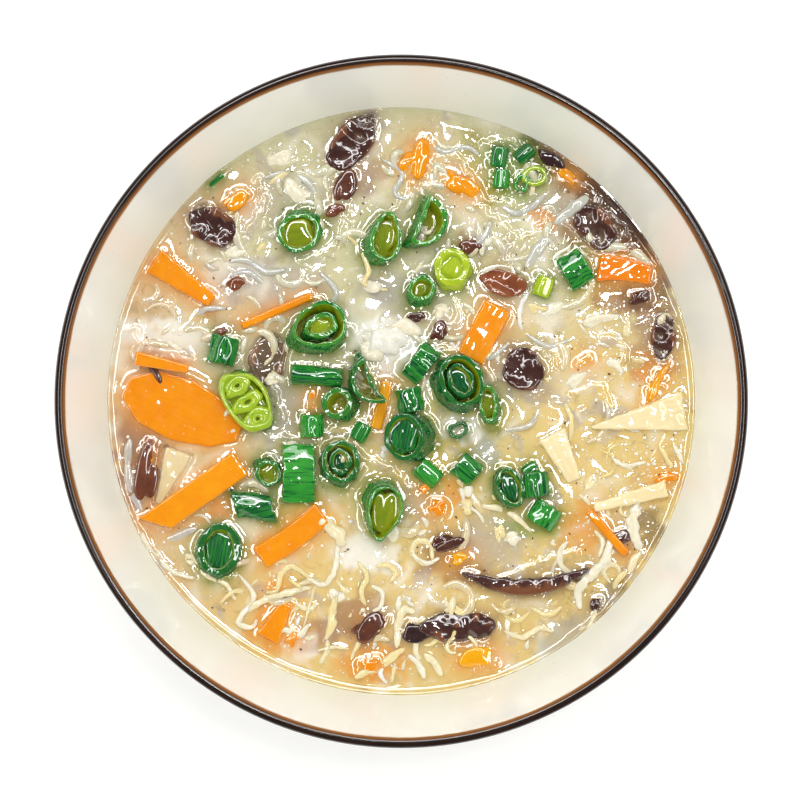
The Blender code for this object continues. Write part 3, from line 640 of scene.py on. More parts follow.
def make_congee():
    """Milky starch that takes the colours of what lies in it, with fine bubbles whose white is partly painted
    highlight, and specks.
    """
    congee = Finish(
        "congee",
        specular_ior_level=0.05,
        coat_weight=1.0,
        coat_roughness=0.03,
        coat_ior=1.9,
        subsurface_weight=0.25,
        subsurface_radius=(1.0, 0.7, 0.35),
        subsurface_scale=0.0018,
    )
    colour = congee_colour(congee)
    lump = congee.read("lump")
    colour = congee.mix(lump.most(0.0) * 0.85, colour, (243, 234, 210))
    colour = congee.mix((lump * -1.0).most(0.0) * 0.5, colour, (160, 132, 88))
    colour = congee.mix(congee.read("stained"), colour, congee.read("stain", "Color"))
    colour = congee.mix(congee.read("by_carrot") * 0.75, colour, (232, 154, 52))
    colour = congee.mix(congee.read("by_mushroom") * 0.65, colour, (136, 104, 78))
    colour = congee.mix(congee.read("by_onion") * 0.85, colour, (112, 128, 42))
    colour = congee.mix(congee.read("in_ring") * 0.85, colour, (150, 152, 30))
    fine = congee.noise(0.55, detail=3.0, roughness=0.6)
    strings = congee.noise(1.3, detail=2.0, distortion=2.4)
    # Fine bubbles as pale dots: their white is partly painted highlight.
    bubble_glint = congee.dots(1.5, 0.17, 0.1, 7.0, 0.42, 0.6)
    colour = congee.mix(bubble_glint * 0.8, colour, (252, 246, 228))
    speck = congee.step(congee.cells(4.2), 0.07, 0.03)
    colour = congee.mix(speck, colour, (104, 74, 48))
    relief = fine * 0.03 + strings * 0.13 + congee.noise(3.0, detail=1.0) * 0.12 + bubble_glint * 0.3
    return congee.done(colour, 0.2 + fine * 0.12, relief, depth=0.3)


def veiled(finish, colour, strength, over=(212, 192, 146)):
    """The colour under a film of congee where the piece is low in it."""
    film = finish.read("film")
    patchy = finish.noise(1.6, detail=3.0, roughness=0.6)
    veil = finish.step(film + patchy * 0.7, 0.75, 1.45) * strength
    return finish.mix(veil, colour, over)


def make_onion():
    """Spring onion leaf: dark ribbed skin, a fresh green cut edge and a pale inside."""
    onion = Finish(
        "spring_onion",
        **WET,
        coat_weight=0.9,
        coat_ior=1.8,
        subsurface_weight=0.1,
        subsurface_radius=(0.3, 1.0, 0.2),
        subsurface_scale=0.001,
    )
    grain = onion.read("grain", "Vector")
    tone, skin, rind = onion.read("tone"), onion.read("skin"), onion.read("rind")
    ribs = onion.streaks(grain, 0.42, 2.0, 0.05)
    broad = onion.streaks(grain, 1.7, 3.0, 0.25)
    rib_mask = onion.step(ribs + tone * 0.2, 0.45, 0.66)
    deep = onion.mix(broad, (0, 62, 34), (4, 94, 44))
    bright = onion.mix(broad, (16, 132, 50), (74, 178, 50))
    outside = onion.mix(rib_mask * (0.35 + tone * 0.65), deep, bright)
    inside = onion.mix(broad, (60, 108, 10), (158, 162, 16))
    dark_flesh = onion.mix(tone, (0, 66, 30), (40, 146, 30))
    light_flesh = onion.mix(tone, (20, 108, 44), (128, 206, 60))
    flesh = onion.mix(onion.streaks(grain, 0.5, 3.0, 1.0), dark_flesh, light_flesh)
    colour = onion.mix(onion.step(skin, -0.25, -0.6), flesh, inside)
    edge = onion.step(rind, 0.90, 0.97)
    colour = onion.mix(edge.most(onion.step(skin, 0.25, 0.6)), colour, outside)
    pale = onion.mix(broad, (138, 172, 0), (200, 216, 56))
    colour = onion.mix(onion.step(tone, 0.85, 0.94) * (1 - edge * 0.2), colour, pale)
    fleck = onion.dots(1.3, 0.13, 0.07, 4.0, 0.5, 0.62)
    colour = onion.mix(fleck * 0.7, veiled(onion, colour, 0.2), (236, 240, 214))
    relief = ribs * onion.step(skin, 0.1, 0.5) + onion.noise(0.6, detail=3.0) * 0.5
    return onion.done(colour, 0.2 + ribs * 0.12, relief, depth=0.16)


def make_carrot():
    """Orange with pale fibres along it, and yellower with tone."""
    carrot = Finish(
        "carrot",
        **WET,
        coat_weight=0.9,
        coat_ior=1.8,
        subsurface_weight=0.1,
        subsurface_radius=(1.0, 0.4, 0.1),
        subsurface_scale=0.0015,
    )
    grain, tone = carrot.read("grain", "Vector"), carrot.read("tone")
    fibres = carrot.streaks(grain, 0.6, 3.0, 0.12)
    blotch = carrot.noise(4.0, detail=4.0, roughness=0.6)
    orange = carrot.mix(blotch, (232, 108, 0), (246, 148, 0))
    yellow = carrot.mix(blotch, (240, 150, 0), (246, 184, 10))
    colour = carrot.mix(tone, orange, yellow)
    colour = carrot.mix(carrot.step(fibres, 0.5, 0.75) * 0.25, colour, (248, 158, 30))
    speck = carrot.dots(1.6, 0.14, 0.07, 5.0, 0.45, 0.6)
    colour = carrot.mix(speck * 0.6, veiled(carrot, colour, 0.35, (232, 160, 66)), (252, 226, 170))
    return carrot.done(colour, 0.2 + fibres * 0.12, fibres * 0.4 + blotch * 0.7, depth=0.12)


def make_bamboo():
    """Cream, with fine fibres along it."""
    bamboo = Finish("bamboo_shoot", **WET, **MILKY, coat_weight=0.8, subsurface_weight=0.25)
    grain, tone = bamboo.read("grain", "Vector"), bamboo.read("tone")
    fibres = bamboo.streaks(grain, 0.7, 3.0, 0.07)
    colour = bamboo.mix(bamboo.step(fibres, 0.3, 0.75), (238, 218, 172), (244, 230, 192))
    colour = bamboo.mix(tone * 0.6, colour, (244, 222, 150))
    return bamboo.done(veiled(bamboo, colour, 0.5), 0.2 + fibres * 0.1, fibres, depth=0.04)


def make_mushroom():
    """Wood ear and mushroom: dark and glossy, rustier and paler with tone."""
    mushroom = Finish("mushroom", specular_ior_level=0.1, coat_weight=0.9, coat_roughness=0.05, coat_ior=1.7)
    grain, tone = mushroom.read("grain", "Vector"), mushroom.read("tone")
    cloud = mushroom.noise(2.6, detail=4.0, roughness=0.6)
    lines = mushroom.streaks(grain, 0.6, 2.0, 0.1)
    dark = mushroom.mix(cloud, (30, 18, 22), (72, 46, 44))
    rusty = mushroom.mix(cloud, (98, 44, 26), (168, 96, 54))
    colour = mushroom.mix(tone, dark, rusty)
    edge = mushroom.step(mushroom.read("rind"), 0.88, 1.0)
    colour = mushroom.mix(edge * 0.5, colour, (150, 92, 54))
    fleck = mushroom.dots(1.2, 0.13, 0.06, 4.0, 0.45, 0.6)
    colour = mushroom.mix(fleck * 0.7, veiled(mushroom, colour, 0.16), (226, 214, 196))
    return mushroom.done(colour, 0.2 + cloud * 0.15, cloud * 0.8 + lines * 0.4, depth=0.15)


def make_egg():
    """Cooked egg: white, and more of the yolk with tone."""
    egg = Finish("egg", **WET, **MILKY, coat_weight=0.8, subsurface_weight=0.3)
    grain, tone = egg.read("grain", "Vector"), egg.read("tone")
    cloud = egg.noise(1.2, detail=4.0, roughness=0.65)
    white = egg.mix(cloud, (232, 226, 204), (254, 252, 244))
    yolk = egg.mix(cloud, (228, 194, 108), (250, 232, 166))
    colour = egg.mix(tone, white, yolk)
    threads = egg.streaks(grain, 0.5, 2.0, 0.1)
    colour = veiled(egg, colour, 0.4, (238, 222, 184))
    return egg.done(colour, 0.25 + cloud * 0.15, cloud + threads * 0.3, depth=0.3)


def make_glass_noodle():
    """Mung-bean noodle: clear, so that it takes the congee's colour with a cool cast."""
    noodle = Finish(
        "glass_noodle",
        specular_ior_level=0.1,
        coat_weight=1.0,
        coat_roughness=0.03,
        coat_ior=1.8,
    )
    tone = noodle.read("tone")
    colour = noodle.mix(tone, congee_colour(noodle), (160, 172, 190))
    colour = noodle.mix(noodle.noise(1.5, detail=2.0) * 0.4, colour, (228, 220, 196))
    return noodle.done(veiled(noodle, colour, 0.6), 0.1, noodle.noise(0.8, detail=2.0), depth=0.12)


def make_bubble():
    bubble_glint = Finish("starch_bubble", specular_ior_level=0.1, coat_weight=0.8, coat_roughness=0.03)
    # Near-white beads: the white of the bubbles is partly painted highlight.
    colour = bubble_glint.mix(bubble_glint.read("tone"), (236, 224, 196), (254, 252, 244))
    return bubble_glint.done(colour, 0.1)


def make_pepper():
    pepper = Finish("pepper_speck")
    return pepper.done(pepper.mix(pepper.noise(0.3), (58, 38, 26), (122, 84, 50)), 0.45)


# ---------------------------------------------------------------- meshes


def use_only(item):
    bpy.ops.object.select_all(action="DESELECT")
    item.select_set(True)
    bpy.context.view_layer.objects.active = item


def start(add, name, **options):
    """Adds a primitive to shape into a piece."""
    bpy.ops.object.select_all(action="DESELECT")
    add(**options)
    bpy.context.object.name = name
    return bpy.context.object


def edit_all(item):
    """Opens a piece's mesh with everything selected."""
    use_only(item)
    bpy.ops.object.mode_set(mode="EDIT")
    bpy.ops.mesh.select_mode(type="VERT")
    bpy.ops.mesh.select_all(action="SELECT")


def link(name, data):
    item = bpy.data.objects.new(name, data)
    bpy.context.scene.collection.objects.link(item)
    return item


def apply_all(item):
    use_only(item)
    for modifier in list(item.modifiers):
        bpy.ops.object.modifier_apply(modifier=modifier.name)


def points_of(item):
    points = np.empty(len(item.data.vertices) * 3)
    item.data.vertices.foreach_get("co", points)
    return points.reshape(-1, 3)


def normals_of(item):
    normals = np.empty(len(item.data.vertices) * 3)
    item.data.vertex_normals.foreach_get("vector", normals)
    return normals.reshape(-1, 3)


def move_points(item, points):
    item.data.vertices.foreach_set("co", np.ascontiguousarray(points, dtype=np.float64).ravel())
    item.data.update()


def keep(item, name, values):
    """Stores a number, or a vector, for each vertex."""
    values = np.asarray(values, dtype=np.float32)
    form, field = ("FLOAT_VECTOR", "vector") if values.ndim == 2 else ("FLOAT", "value")
    item.data.attributes.new(name, form, "POINT").data.foreach_set(field, values.ravel())


def settle(item, material, slot, nodes=()):
    """Gives a finished piece its material, and its place on the bowl."""
    item.data.materials.clear()
    item.data.materials.append(material)
    item.data.shade_smooth()
    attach(item, "root")
    if nodes:
        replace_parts(item, *nodes)
    return item


def inner_height(radius):
    share = radius / (RIM_RADIUS - 2 * LIP_RADIUS)
    return FLOOR_HEIGHT + (HEIGHT - LIP_RADIUS - FLOOR_HEIGHT) * share**WALL_CURVE


def inner_radius(height):
    share = (height - FLOOR_HEIGHT) / (HEIGHT - LIP_RADIUS - FLOOR_HEIGHT)
    return (RIM_RADIUS - 2 * LIP_RADIUS) * share ** (1 / WALL_CURVE)


SOUP_RADIUS = inner_radius(LEVEL)


def wall_point(radius, depth):
    """The point this far under the inner wall's face at a radius."""
    slope = (inner_height(radius + 0.01) - inner_height(radius)) / 0.01
    length = math.hypot(slope, 1.0)
    return radius + depth * slope / length, inner_height(radius) - depth / length


def bowl_profile():
    """The bowl's section as radius and height, from the middle of its floor round to the underside."""
    inside_edge = RIM_RADIUS - 2 * LIP_RADIUS
    radii = [inside_edge * (1 - (1 - k / 40) ** 1.5) for k in range(40)]
    inside = [(radius, inner_height(radius)) for radius in radii]
    lip = []
    for k in range(17):
        angle = math.pi * (1 - k / 16)
        lip.append((
            RIM_RADIUS - LIP_RADIUS + LIP_RADIUS * math.cos(angle),
            HEIGHT - LIP_RADIUS + LIP_RADIUS * math.sin(angle),
        ))
    outside = []
    for radius in reversed(radii):
        thick = WALL_AT_FOOT + (WALL_AT_RIM - WALL_AT_FOOT) * (radius / inside_edge) ** 2
        point = wall_point(radius, thick)
        if point[0] > FOOT_RADIUS + 1.5:
            outside.append(point)
    foot_inside = FOOT_RADIUS - FOOT_WIDTH
    edge = 0.5
    foot = [
        (FOOT_RADIUS + 0.7, 6.9),
        (FOOT_RADIUS + 0.1, 6.0),
        (FOOT_RADIUS, edge),
        (FOOT_RADIUS - edge, 0.0),
        (foot_inside + edge, 0.0),
        (foot_inside, edge),
        (foot_inside - 0.6, 4.2),
        (foot_inside - 1.4, 5.1),
        (foot_inside - 2.6, UNDERSIDE_HEIGHT),
    ]
    return inside + lip + outside + foot + [(0.0, UNDERSIDE_HEIGHT)]


def make_bowl(material):
    """A profile drawn point by point and spun about the bowl's axis."""
    bowl = start(bpy.ops.mesh.primitive_plane_add, "glazed_bowl", size=2 * MM)
    profile = [Vector((radius * MM, 0.0, height * MM)) for radius, height in bowl_profile()]
    edit_all(bowl)
    bpy.ops.mesh.merge(type="CENTER")
    bpy.ops.transform.translate(value=profile[0])
    for one, other in zip(profile, profile[1:]):
        bpy.ops.mesh.extrude_vertices_move(TRANSFORM_OT_translate={"value": other - one})
    bpy.ops.mesh.select_all(action="SELECT")
    bpy.ops.mesh.spin(steps=BOWL_STEPS, angle=2 * math.pi, center=(0.0, 0.0, 0.0), axis=(0.0, 0.0, 1.0))
    bpy.ops.mesh.select_all(action="SELECT")
    bpy.ops.mesh.remove_doubles(threshold=0.01 * MM)
    bpy.ops.mesh.normals_make_consistent(inside=False)
    bpy.ops.object.mode_set(mode="OBJECT")
    bowl.data.update()
    # Marks the outside, which the glaze greys as painted shade.
    outward = (points_of(bowl)[:, :2] * normals_of(bowl)[:, :2]).sum(axis=1)
    keep(bowl, "outside", smooth(outward / MM, 0.0, 1.0))
    return settle(bowl, material, "cream_glaze", ["bowl"])


# ---------------------------------------------------------------- the congee's surface


def ripples(x, y, length, seed, waves=14):
    """Smooth random ups and downs of about this wavelength, with a spread of 1."""
    draw = random.Random(seed)
    total = 0.0
    for _ in range(waves):
        heading = draw.uniform(0.0, 2 * math.pi)
        pace = 2 * math.pi / length * draw.uniform(0.7, 1.4)
        shift = draw.uniform(0.0, 2 * math.pi)
        total = total + np.cos(pace * (x * math.cos(heading) + y * math.sin(heading)) + shift)
    return total / math.sqrt(waves / 2)


def smooth(value, low, high):
    share = np.clip((value - low) / (high - low), 0.0, 1.0)
    return share * share * (3 - 2 * share)


def surface(x, y):
    """The congee's height over its level, in millimetres, without the creep up its pieces."""
    fade = 1 - (np.hypot(x, y) / SOUP_RADIUS) ** 4
    swell = np.sin(0.11 * x + 0.7) * np.cos(0.13 * y - 0.4) + 0.6 * np.sin(0.21 * (x - y) + 1.1)
    lively = 0.35 + 0.65 * smooth(ripples(x, y, 24.0, 5), -0.6, 0.9)
    lively = lively * smooth(np.hypot(x - CALM[0], y - CALM[1]), 4.0, 24.0)
    small = 0.09 * ripples(x, y, 11.0, 1) + 0.008 * lively * ripples(x, y, 5.0, 2)
    return (SWELL * swell + small + 0.0015 * lively * ripples(x, y, 2.2, 3)) * fade


def surface_at(at):
    return surface(np.array([at[0]]), np.array([at[1]]))[0]


def lumps(x, y):
    """Soft things just under the surface: how far they lift it, and whether they are pale (+) or dark (-)."""
    draw = random.Random(11)
    lift, shade = np.zeros_like(x), np.zeros_like(x)
    for _ in range(SOFT_LUMPS):
        reach = SOUP_RADIUS * math.sqrt(draw.random())
        heading = draw.uniform(0.0, 2 * math.pi)
        turn = draw.uniform(0.0, math.pi)
        long, short = draw.uniform(1.2, 5.0), draw.uniform(0.7, 1.8)
        dx, dy = x - reach * math.cos(heading), y - reach * math.sin(heading)
        along = dx * math.cos(turn) + dy * math.sin(turn)
        aside = dy * math.cos(turn) - dx * math.sin(turn) + 0.06 * along * along * draw.uniform(-1.0, 1.0)
        spot = np.exp(-((along / long) ** 2) - (aside / short) ** 2)
        lift += draw.uniform(0.02, 0.09) * spot
        shade += draw.choice((0.9, 0.8, 0.6, -0.7)) * spot
    return lift, np.clip(shade, -1.0, 1.0)


def threads(x, y, length, seed):
    """1 along wandering lines where a skin of starch ridges the surface, and 0 away from them."""
    step = 0.05
    here = ripples(x, y, length, seed)
    rise = ripples(x + step, y, length, seed) - here, ripples(x, y + step, length, seed) - here
    slope = np.hypot(*rise) / step
    away = np.abs(here) / np.maximum(slope, 0.02)
    return np.exp(-((away / 0.75) ** 2)) * smooth(ripples(x, y, 19.0, seed + 1), -0.2, 0.6)


def skins(x, y):
    """1 on the ridges drawn up between the pieces, and 0 away from them."""
    places = np.linspace(0.0, 1.0, 120)
    along = np.concatenate([along_route(route, places)[0] for route in SKINS])
    away = nearest(flat_tree(along), x + 0.25 * ripples(x, y, 2.6, 85), y + 0.25 * ripples(x, y, 2.6, 86))
    return np.exp(-((away / (0.75 + 0.3 * smooth(ripples(x, y, 6.0, 87), -1.0, 1.0))) ** 2))


def stains(x, y):
    """The colour of what is sunk at each point, and how strongly it shows."""
    x = x + 0.8 * ripples(x, y, 5.0, 71)
    y = y + 0.8 * ripples(x, y, 5.0, 72)
    colour, share = np.zeros((len(x), 3)), np.zeros_like(x)
    for what, at, (length, width), turn, strength in SUNK:
        angle = math.radians(turn)
        dx, dy = x - at[0], y - at[1]
        along = dx * math.cos(angle) + dy * math.sin(angle)
        aside = dy * math.cos(angle) - dx * math.sin(angle)
        near = strength * (1 - smooth(np.hypot(along / length, aside / width), 0.25, 0.65))
        colour += (np.array(tint(*SUNK_COLOURS[what])[:3]) - colour) * near[:, None]
        share += (1 - share) * near
    return colour / np.maximum(share, 1e-6)[:, None], share


def nearest(tree, x, y):
    return np.array([tree.find((a, b, 0.0))[2] for a, b in zip(x, y)])


def flat_tree(points):
    tree = KDTree(len(points))
    for k, point in enumerate(points):
        tree.insert((point[0], point[1], 0.0), k)
    tree.balance()
    return tree


def waterline(pieces, band=0.8):
    """The points of the pieces that are close to the congee's surface, in millimetres."""
    found = []
    for piece in pieces:
        points = points_of(piece) / MM
        off = np.abs(points[:, 2] - LEVEL - surface(points[:, 0], points[:, 1]))
        found.append(points[off < band])
    return np.concatenate(found)


def make_soup(material, families, low):
    """The congee: a fine disc that creeps up the wall and its pieces, over a side that follows the bowl."""
    cuts = {"x_subdivisions": SURFACE_CUTS, "y_subdivisions": SURFACE_CUTS}
    soup = start(bpy.ops.mesh.primitive_grid_add, "congee_in_bowl", size=2.0, **cuts)
    grid = points_of(soup)
    u, v = grid[:, 0], grid[:, 1]
    edge = SOUP_RADIUS + 0.5
    x = u * np.sqrt(1 - v * v / 2) * edge
    y = v * np.sqrt(1 - u * u / 2) * edge

    lift, shade = lumps(x, y)
    solid = [piece for name in ("onion", "carrot", "mushroom") for piece in families[name]]
    away = nearest(flat_tree(waterline(solid)), x, y)
    from_loose = nearest(flat_tree(waterline(families["pale"], 0.4)), x, y)
    to_wall = np.maximum(SOUP_RADIUS - np.hypot(x, y), 0.0)
    height = surface(x, y) + lift * smooth(to_wall, 0.0, 4.0)
    climb = CLIMB * (0.45 + 0.55 * smooth(ripples(x, y, 10.0, 83), -0.8, 0.8))
    creep = np.maximum(climb * np.exp(-away / REACH), 0.2 * np.exp(-from_loose / 0.5))
    fine_ridges = THREAD_RIDGE * threads(x, y, 18.0, 81) * smooth(away, 0.6, 1.8)
    ridges = np.maximum(fine_ridges, SKIN_RIDGE * skins(x, y))
    height += np.maximum(creep, ridges * smooth(to_wall, 0.5, 3.0)) + RIM_RIDGE * np.exp(-to_wall / 0.7)
    z = LEVEL + height
    tops = np.concatenate([points_of(piece)[normals_of(piece)[:, 2] > 0.2] / MM for piece in low])
    tree = flat_tree(tops)
    found = [tree.find((a, b, 0.0)) for a, b in zip(x, y)]
    over = 1 - smooth(np.array([hit[2] for hit in found]), 0.25, 0.95)
    under_top = tops[[hit[1] for hit in found], 2] - UNDER_LOW
    z = np.minimum(z, z + over * (under_top - z))
    move_points(soup, np.stack([x, y, z], axis=1) * MM)

    keep(soup, "lump", shade)
    colour, share = stains(x, y)
    keep(soup, "stain", colour)
    keep(soup, "stained", share)
    for name, spread in (("carrot", 2.2), ("mushroom", 1.6), ("onion", 1.5)):
        distance = nearest(flat_tree(waterline(families[name], 1.6)), x, y)
        keep(soup, f"by_{name}", np.exp(-distance / spread))

    held = np.zeros_like(x)
    for piece in families["onion"]:
        if "_ring_" in piece.name and "pale" not in piece.name:
            outline = points_of(piece)[:, :2] / MM
            centre = outline.mean(axis=0)
            spread = np.linalg.inv(np.cov((outline - centre).T))
            own = np.stack([x, y], axis=1) - centre
            reach = np.sqrt(np.einsum("ij,jk,ik->i", own, spread, own))
            held = np.maximum(held, 1 - smooth(reach, 0.9, 1.5))
    keep(soup, "in_ring", held)

    edit_all(soup)
    bpy.ops.mesh.region_to_loop()
    for radius in (62.0, 57.0, 45.0):
        share = radius / edge
        bpy.ops.mesh.extrude_region_move(TRANSFORM_OT_translate={"value": (0.0, 0.0, -4.0 * MM)})
        bpy.ops.transform.resize(value=(share, share, 1.0), center_override=(0.0, 0.0, 0.0))
        edge = radius
    bpy.ops.mesh.edge_face_add()
    bpy.ops.mesh.select_all(action="SELECT")
    bpy.ops.mesh.normals_make_consistent(inside=False)
    bpy.ops.object.mode_set(mode="OBJECT")
    return settle(soup, material, "congee", ["congee"])


# ---------------------------------------------------------------- pieces that the CAD places


def cad_copy(node, label):
    """A merged copy of a CAD node's mesh, in quads where they are flat."""
    piece = link(f"{node}_{label}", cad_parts[node].data.copy())
    edit_all(piece)
    bpy.ops.mesh.remove_doubles(threshold=0.002 * MM)
    bpy.ops.mesh.tris_convert_to_quads()
    bpy.ops.object.mode_set(mode="OBJECT")
    return piece


def leaf_axes(piece):
    """The axes across and along a tube: along is the way that most of its faces look, as its cut ends do."""
    faces = np.array([tuple(face.normal) for face in piece.data.polygons])
    sizes = np.array([len(face.vertices) - 2 for face in piece.data.polygons])
    alike = (np.abs(faces @ faces.T) > 0.995) @ sizes
    along = faces[np.argmax(alike)]
    along = along * np.sign(along[2] + 1e-6)
    points = points_of(piece)
    flat = points - points.mean(axis=0)
    flat = flat - np.outer(flat @ along, along)
    wide = np.linalg.eigh(flat.T @ flat)[1][:, 2]
    return np.stack([wide, np.cross(along, wide), along])


def strip_axes(piece):
    """The axes of a flat piece: across it, through it and along it."""
    points = points_of(piece)
    flat = points - points.mean(axis=0)
    flat[:, 2] = 0.0
    along = np.linalg.eigh(flat.T @ flat)[1][:, 2]
    up = np.array([0.0, 0.0, 1.0])
    return np.stack([np.cross(up, along), up, along])


def refine(piece, axes, rounding, cuts, uneven, seed):
    """Rounds and subdivides a piece, draws it back out to its size, and makes it a little uneven."""
    before = points_of(piece) @ axes.T
    if cuts:
        edit_all(piece)
        bpy.ops.mesh.subdivide(number_cuts=cuts, smoothness=0.0)
        bpy.ops.object.mode_set(mode="OBJECT")
    if rounding:
        bevel = piece.modifiers.new("rounded", "BEVEL")
        bevel.width = rounding * MM
        bevel.segments = 2
        bevel.limit_method = "ANGLE"
        bevel.angle_limit = math.radians(50)
    fine = piece.modifiers.new("smooth", "SUBSURF")
    fine.levels = fine.render_levels = 2
    apply_all(piece)
    after = points_of(piece) @ axes.T
    low, high = after.min(axis=0), after.max(axis=0)
    share = (after - low) / (high - low)
    after = before.min(axis=0) + share * (before.max(axis=0) - before.min(axis=0))
    points = after @ axes
    mm = points / MM
    wave = ripples(mm[:, 0] + 0.7 * mm[:, 2], mm[:, 1] - 0.6 * mm[:, 2], 3.4, seed)
    move_points(piece, points)
    move_points(piece, points + normals_of(piece) * (wave * uneven * MM)[:, None])


def slant(piece, lean):
    """Slides a standing ring's top sideways, so that one side shows its skin and the other its inside."""
    points = points_of(piece)
    above = points[:, 2] - LEVEL * MM
    points[:, 0] += lean[0] * above
    points[:, 1] += lean[1] * above
    move_points(piece, points)


def flare(piece, axes, amount):
    """Thickens a standing ring's wall downwards, so that its skin and its inside slope out from the cut."""
    points = points_of(piece)
    middle = points.mean(axis=0)
    own = (points - middle) @ axes.T
    halves = np.abs(own).max(axis=0)
    down = (own[:, 2].max() - own[:, 2]) / (2 * halves[2])
    outness = np.clip((np.hypot(own[:, 0] / halves[0], own[:, 1] / halves[1]) - 0.88) / 0.1, -1.0, 1.0)
    own[:, :2] *= (1 + amount * down * outness)[:, None]
    move_points(piece, own @ axes + middle)


def describe(piece, axes, tone):
    """Stores what the food materials read: the grain's axes, skin and rind, tone, and the film."""
    points = points_of(piece)
    own = (points - points.mean(axis=0)) @ axes.T
    halves = np.maximum(np.abs(own).max(axis=0), 1e-6)
    keep(piece, "grain", own)
    keep(piece, "rind", np.hypot(own[:, 0] / halves[0], own[:, 1] / halves[1]))
    outward = own[:, :2] / halves[:2] ** 2
    outward /= np.maximum(np.linalg.norm(outward, axis=1), 1e-9)[:, None]
    facing = normals_of(piece) @ axes.T
    keep(piece, "skin", (facing[:, :2] * outward).sum(axis=1))
    keep(piece, "tone", np.full(len(points), tone))
    mm = points / MM
    above = mm[:, 2] - LEVEL - surface(mm[:, 0], mm[:, 1])
    keep(piece, "film", 1 - smooth(above, -0.2, 1.3))


def slot_of(node):
    word = node.split("_")[0]
    if word == "onion":
        return "onion_pale" if "pale" in node else "onion_green"
    return word


def make_nodes(word, label, material, uneven, rounding=0.0, cuts=0):
    """Copies the CAD nodes of one kind of food, and refines each into the real thing."""
    made = []
    for k, node in enumerate(kind(word)):
        piece = cad_copy(node, label)
        axes = leaf_axes(piece) if word == "onion" else strip_axes(piece)
        refine(piece, axes, rounding, cuts, uneven, seed=100 + k)
        if abs(axes[2][2]) > STANDING:
            flare(piece, axes, 0.06 if "core" in node else 0.12)
            slant(piece, LEANS.get(node, (0.0, 0.0)))
        describe(piece, axes, TONES.get(node, TONES[word]))
        made.append(settle(piece, material, slot_of(node), [node]))
    return made


# ---------------------------------------------------------------- small things, many to a mesh


class Heap:
    """Copies of small shapes gathered into one mesh, each bent to its own place."""

    def __init__(self, name):
        self.name = name
        self.points, self.faces, self.grain, self.tones, self.rind, self.skin = [], [], [], [], [], []
        self.count = 0

    def add(self, shape, points, grain, tone, skin=1.0):
        self.points.append(points)
        self.grain.append(grain * MM)
        self.tones.append(np.full(len(points), tone))
        self.skin.append(np.full(len(points), skin))
        halves = np.maximum(np.abs(grain).max(axis=0), 1e-6)
        self.rind.append(np.hypot(grain[:, 0] / halves[0], grain[:, 2] / halves[2]))
        self.faces += [tuple(self.count + k for k in face) for face in shape["faces"]]
        self.count += len(points)

    def made(self, material, slot):
        mesh = bpy.data.meshes.new(self.name)
        points = np.concatenate(self.points)
        mesh.from_pydata((points * MM).tolist(), [], self.faces)
        item = link(self.name, mesh)
        mesh.update()
        above = points[:, 2] - LEVEL - surface(points[:, 0], points[:, 1])
        keep(item, "grain", np.concatenate(self.grain))
        keep(item, "tone", np.concatenate(self.tones))
        keep(item, "rind", np.concatenate(self.rind))
        keep(item, "skin", np.concatenate(self.skin))
        keep(item, "film", 1 - smooth(above, -0.2, 1.0))
        return settle(item, material, slot)


def pattern(add, **options):
    """A primitive's points and faces, taken for copying."""
    bpy.ops.object.select_all(action="DESELECT")
    add(**options)
    item = bpy.context.object
    bpy.ops.object.transform_apply(location=True, rotation=True, scale=True)
    shape = {"points": points_of(item), "faces": [tuple(face.vertices) for face in item.data.polygons]}
    bpy.data.objects.remove(item, do_unlink=True)
    return shape


def ball_shape(segments=24, ring_count=16, **options):
    options = {"segments": segments, "ring_count": ring_count, "radius": 1.0, **options}
    return pattern(bpy.ops.mesh.primitive_uv_sphere_add, **options)


def strand_shape(segments):
    """A ball whose rings lie one after another along x, to bend into a strand."""
    return ball_shape(segments, 30, rotation=(0, math.pi / 2, 0))


def grain_shape(subdivisions):
    return pattern(bpy.ops.mesh.primitive_ico_sphere_add, subdivisions=subdivisions, radius=1.0)


def hoop_shape():
    cuts = {"major_segments": 32, "minor_segments": 16}
    return pattern(bpy.ops.mesh.primitive_torus_add, major_radius=1.0, minor_radius=HOOP_HALF, **cuts)


def along_route(route, shares):
    """Points and headings on a smooth line through the route's points, at shares of its length."""
    route = np.array(route, dtype=float)
    padded = np.concatenate([[2 * route[0] - route[1]], route, [2 * route[-1] - route[-2]]])
    spans = len(route) - 1
    place = np.clip(shares * spans, 0.0, spans - 1e-6)
    k = place.astype(int)
    t = (place - k)[:, None]
    a, b, c, d = (padded[k + n] for n in range(4))
    point = 0.5 * (2 * b + (c - a) * t + (2 * a - 5 * b + 4 * c - d) * t**2 + (3 * b - a - 3 * c + d) * t**3)
    heading = 0.5 * ((c - a) + 2 * (2 * a - 5 * b + 4 * c - d) * t + 3 * (3 * b - a - 3 * c + d) * t**2)
    return point, heading / np.maximum(np.linalg.norm(heading, axis=1), 1e-9)[:, None]


def turned(own, at, turn):
    """The x and y of a piece's own points when it lies at a place and heading."""
    angle = math.radians(turn)
    x = at[0] + own[:, 0] * math.cos(angle) - own[:, 1] * math.sin(angle)
    y = at[1] + own[:, 0] * math.sin(angle) + own[:, 1] * math.cos(angle)
    return x, y


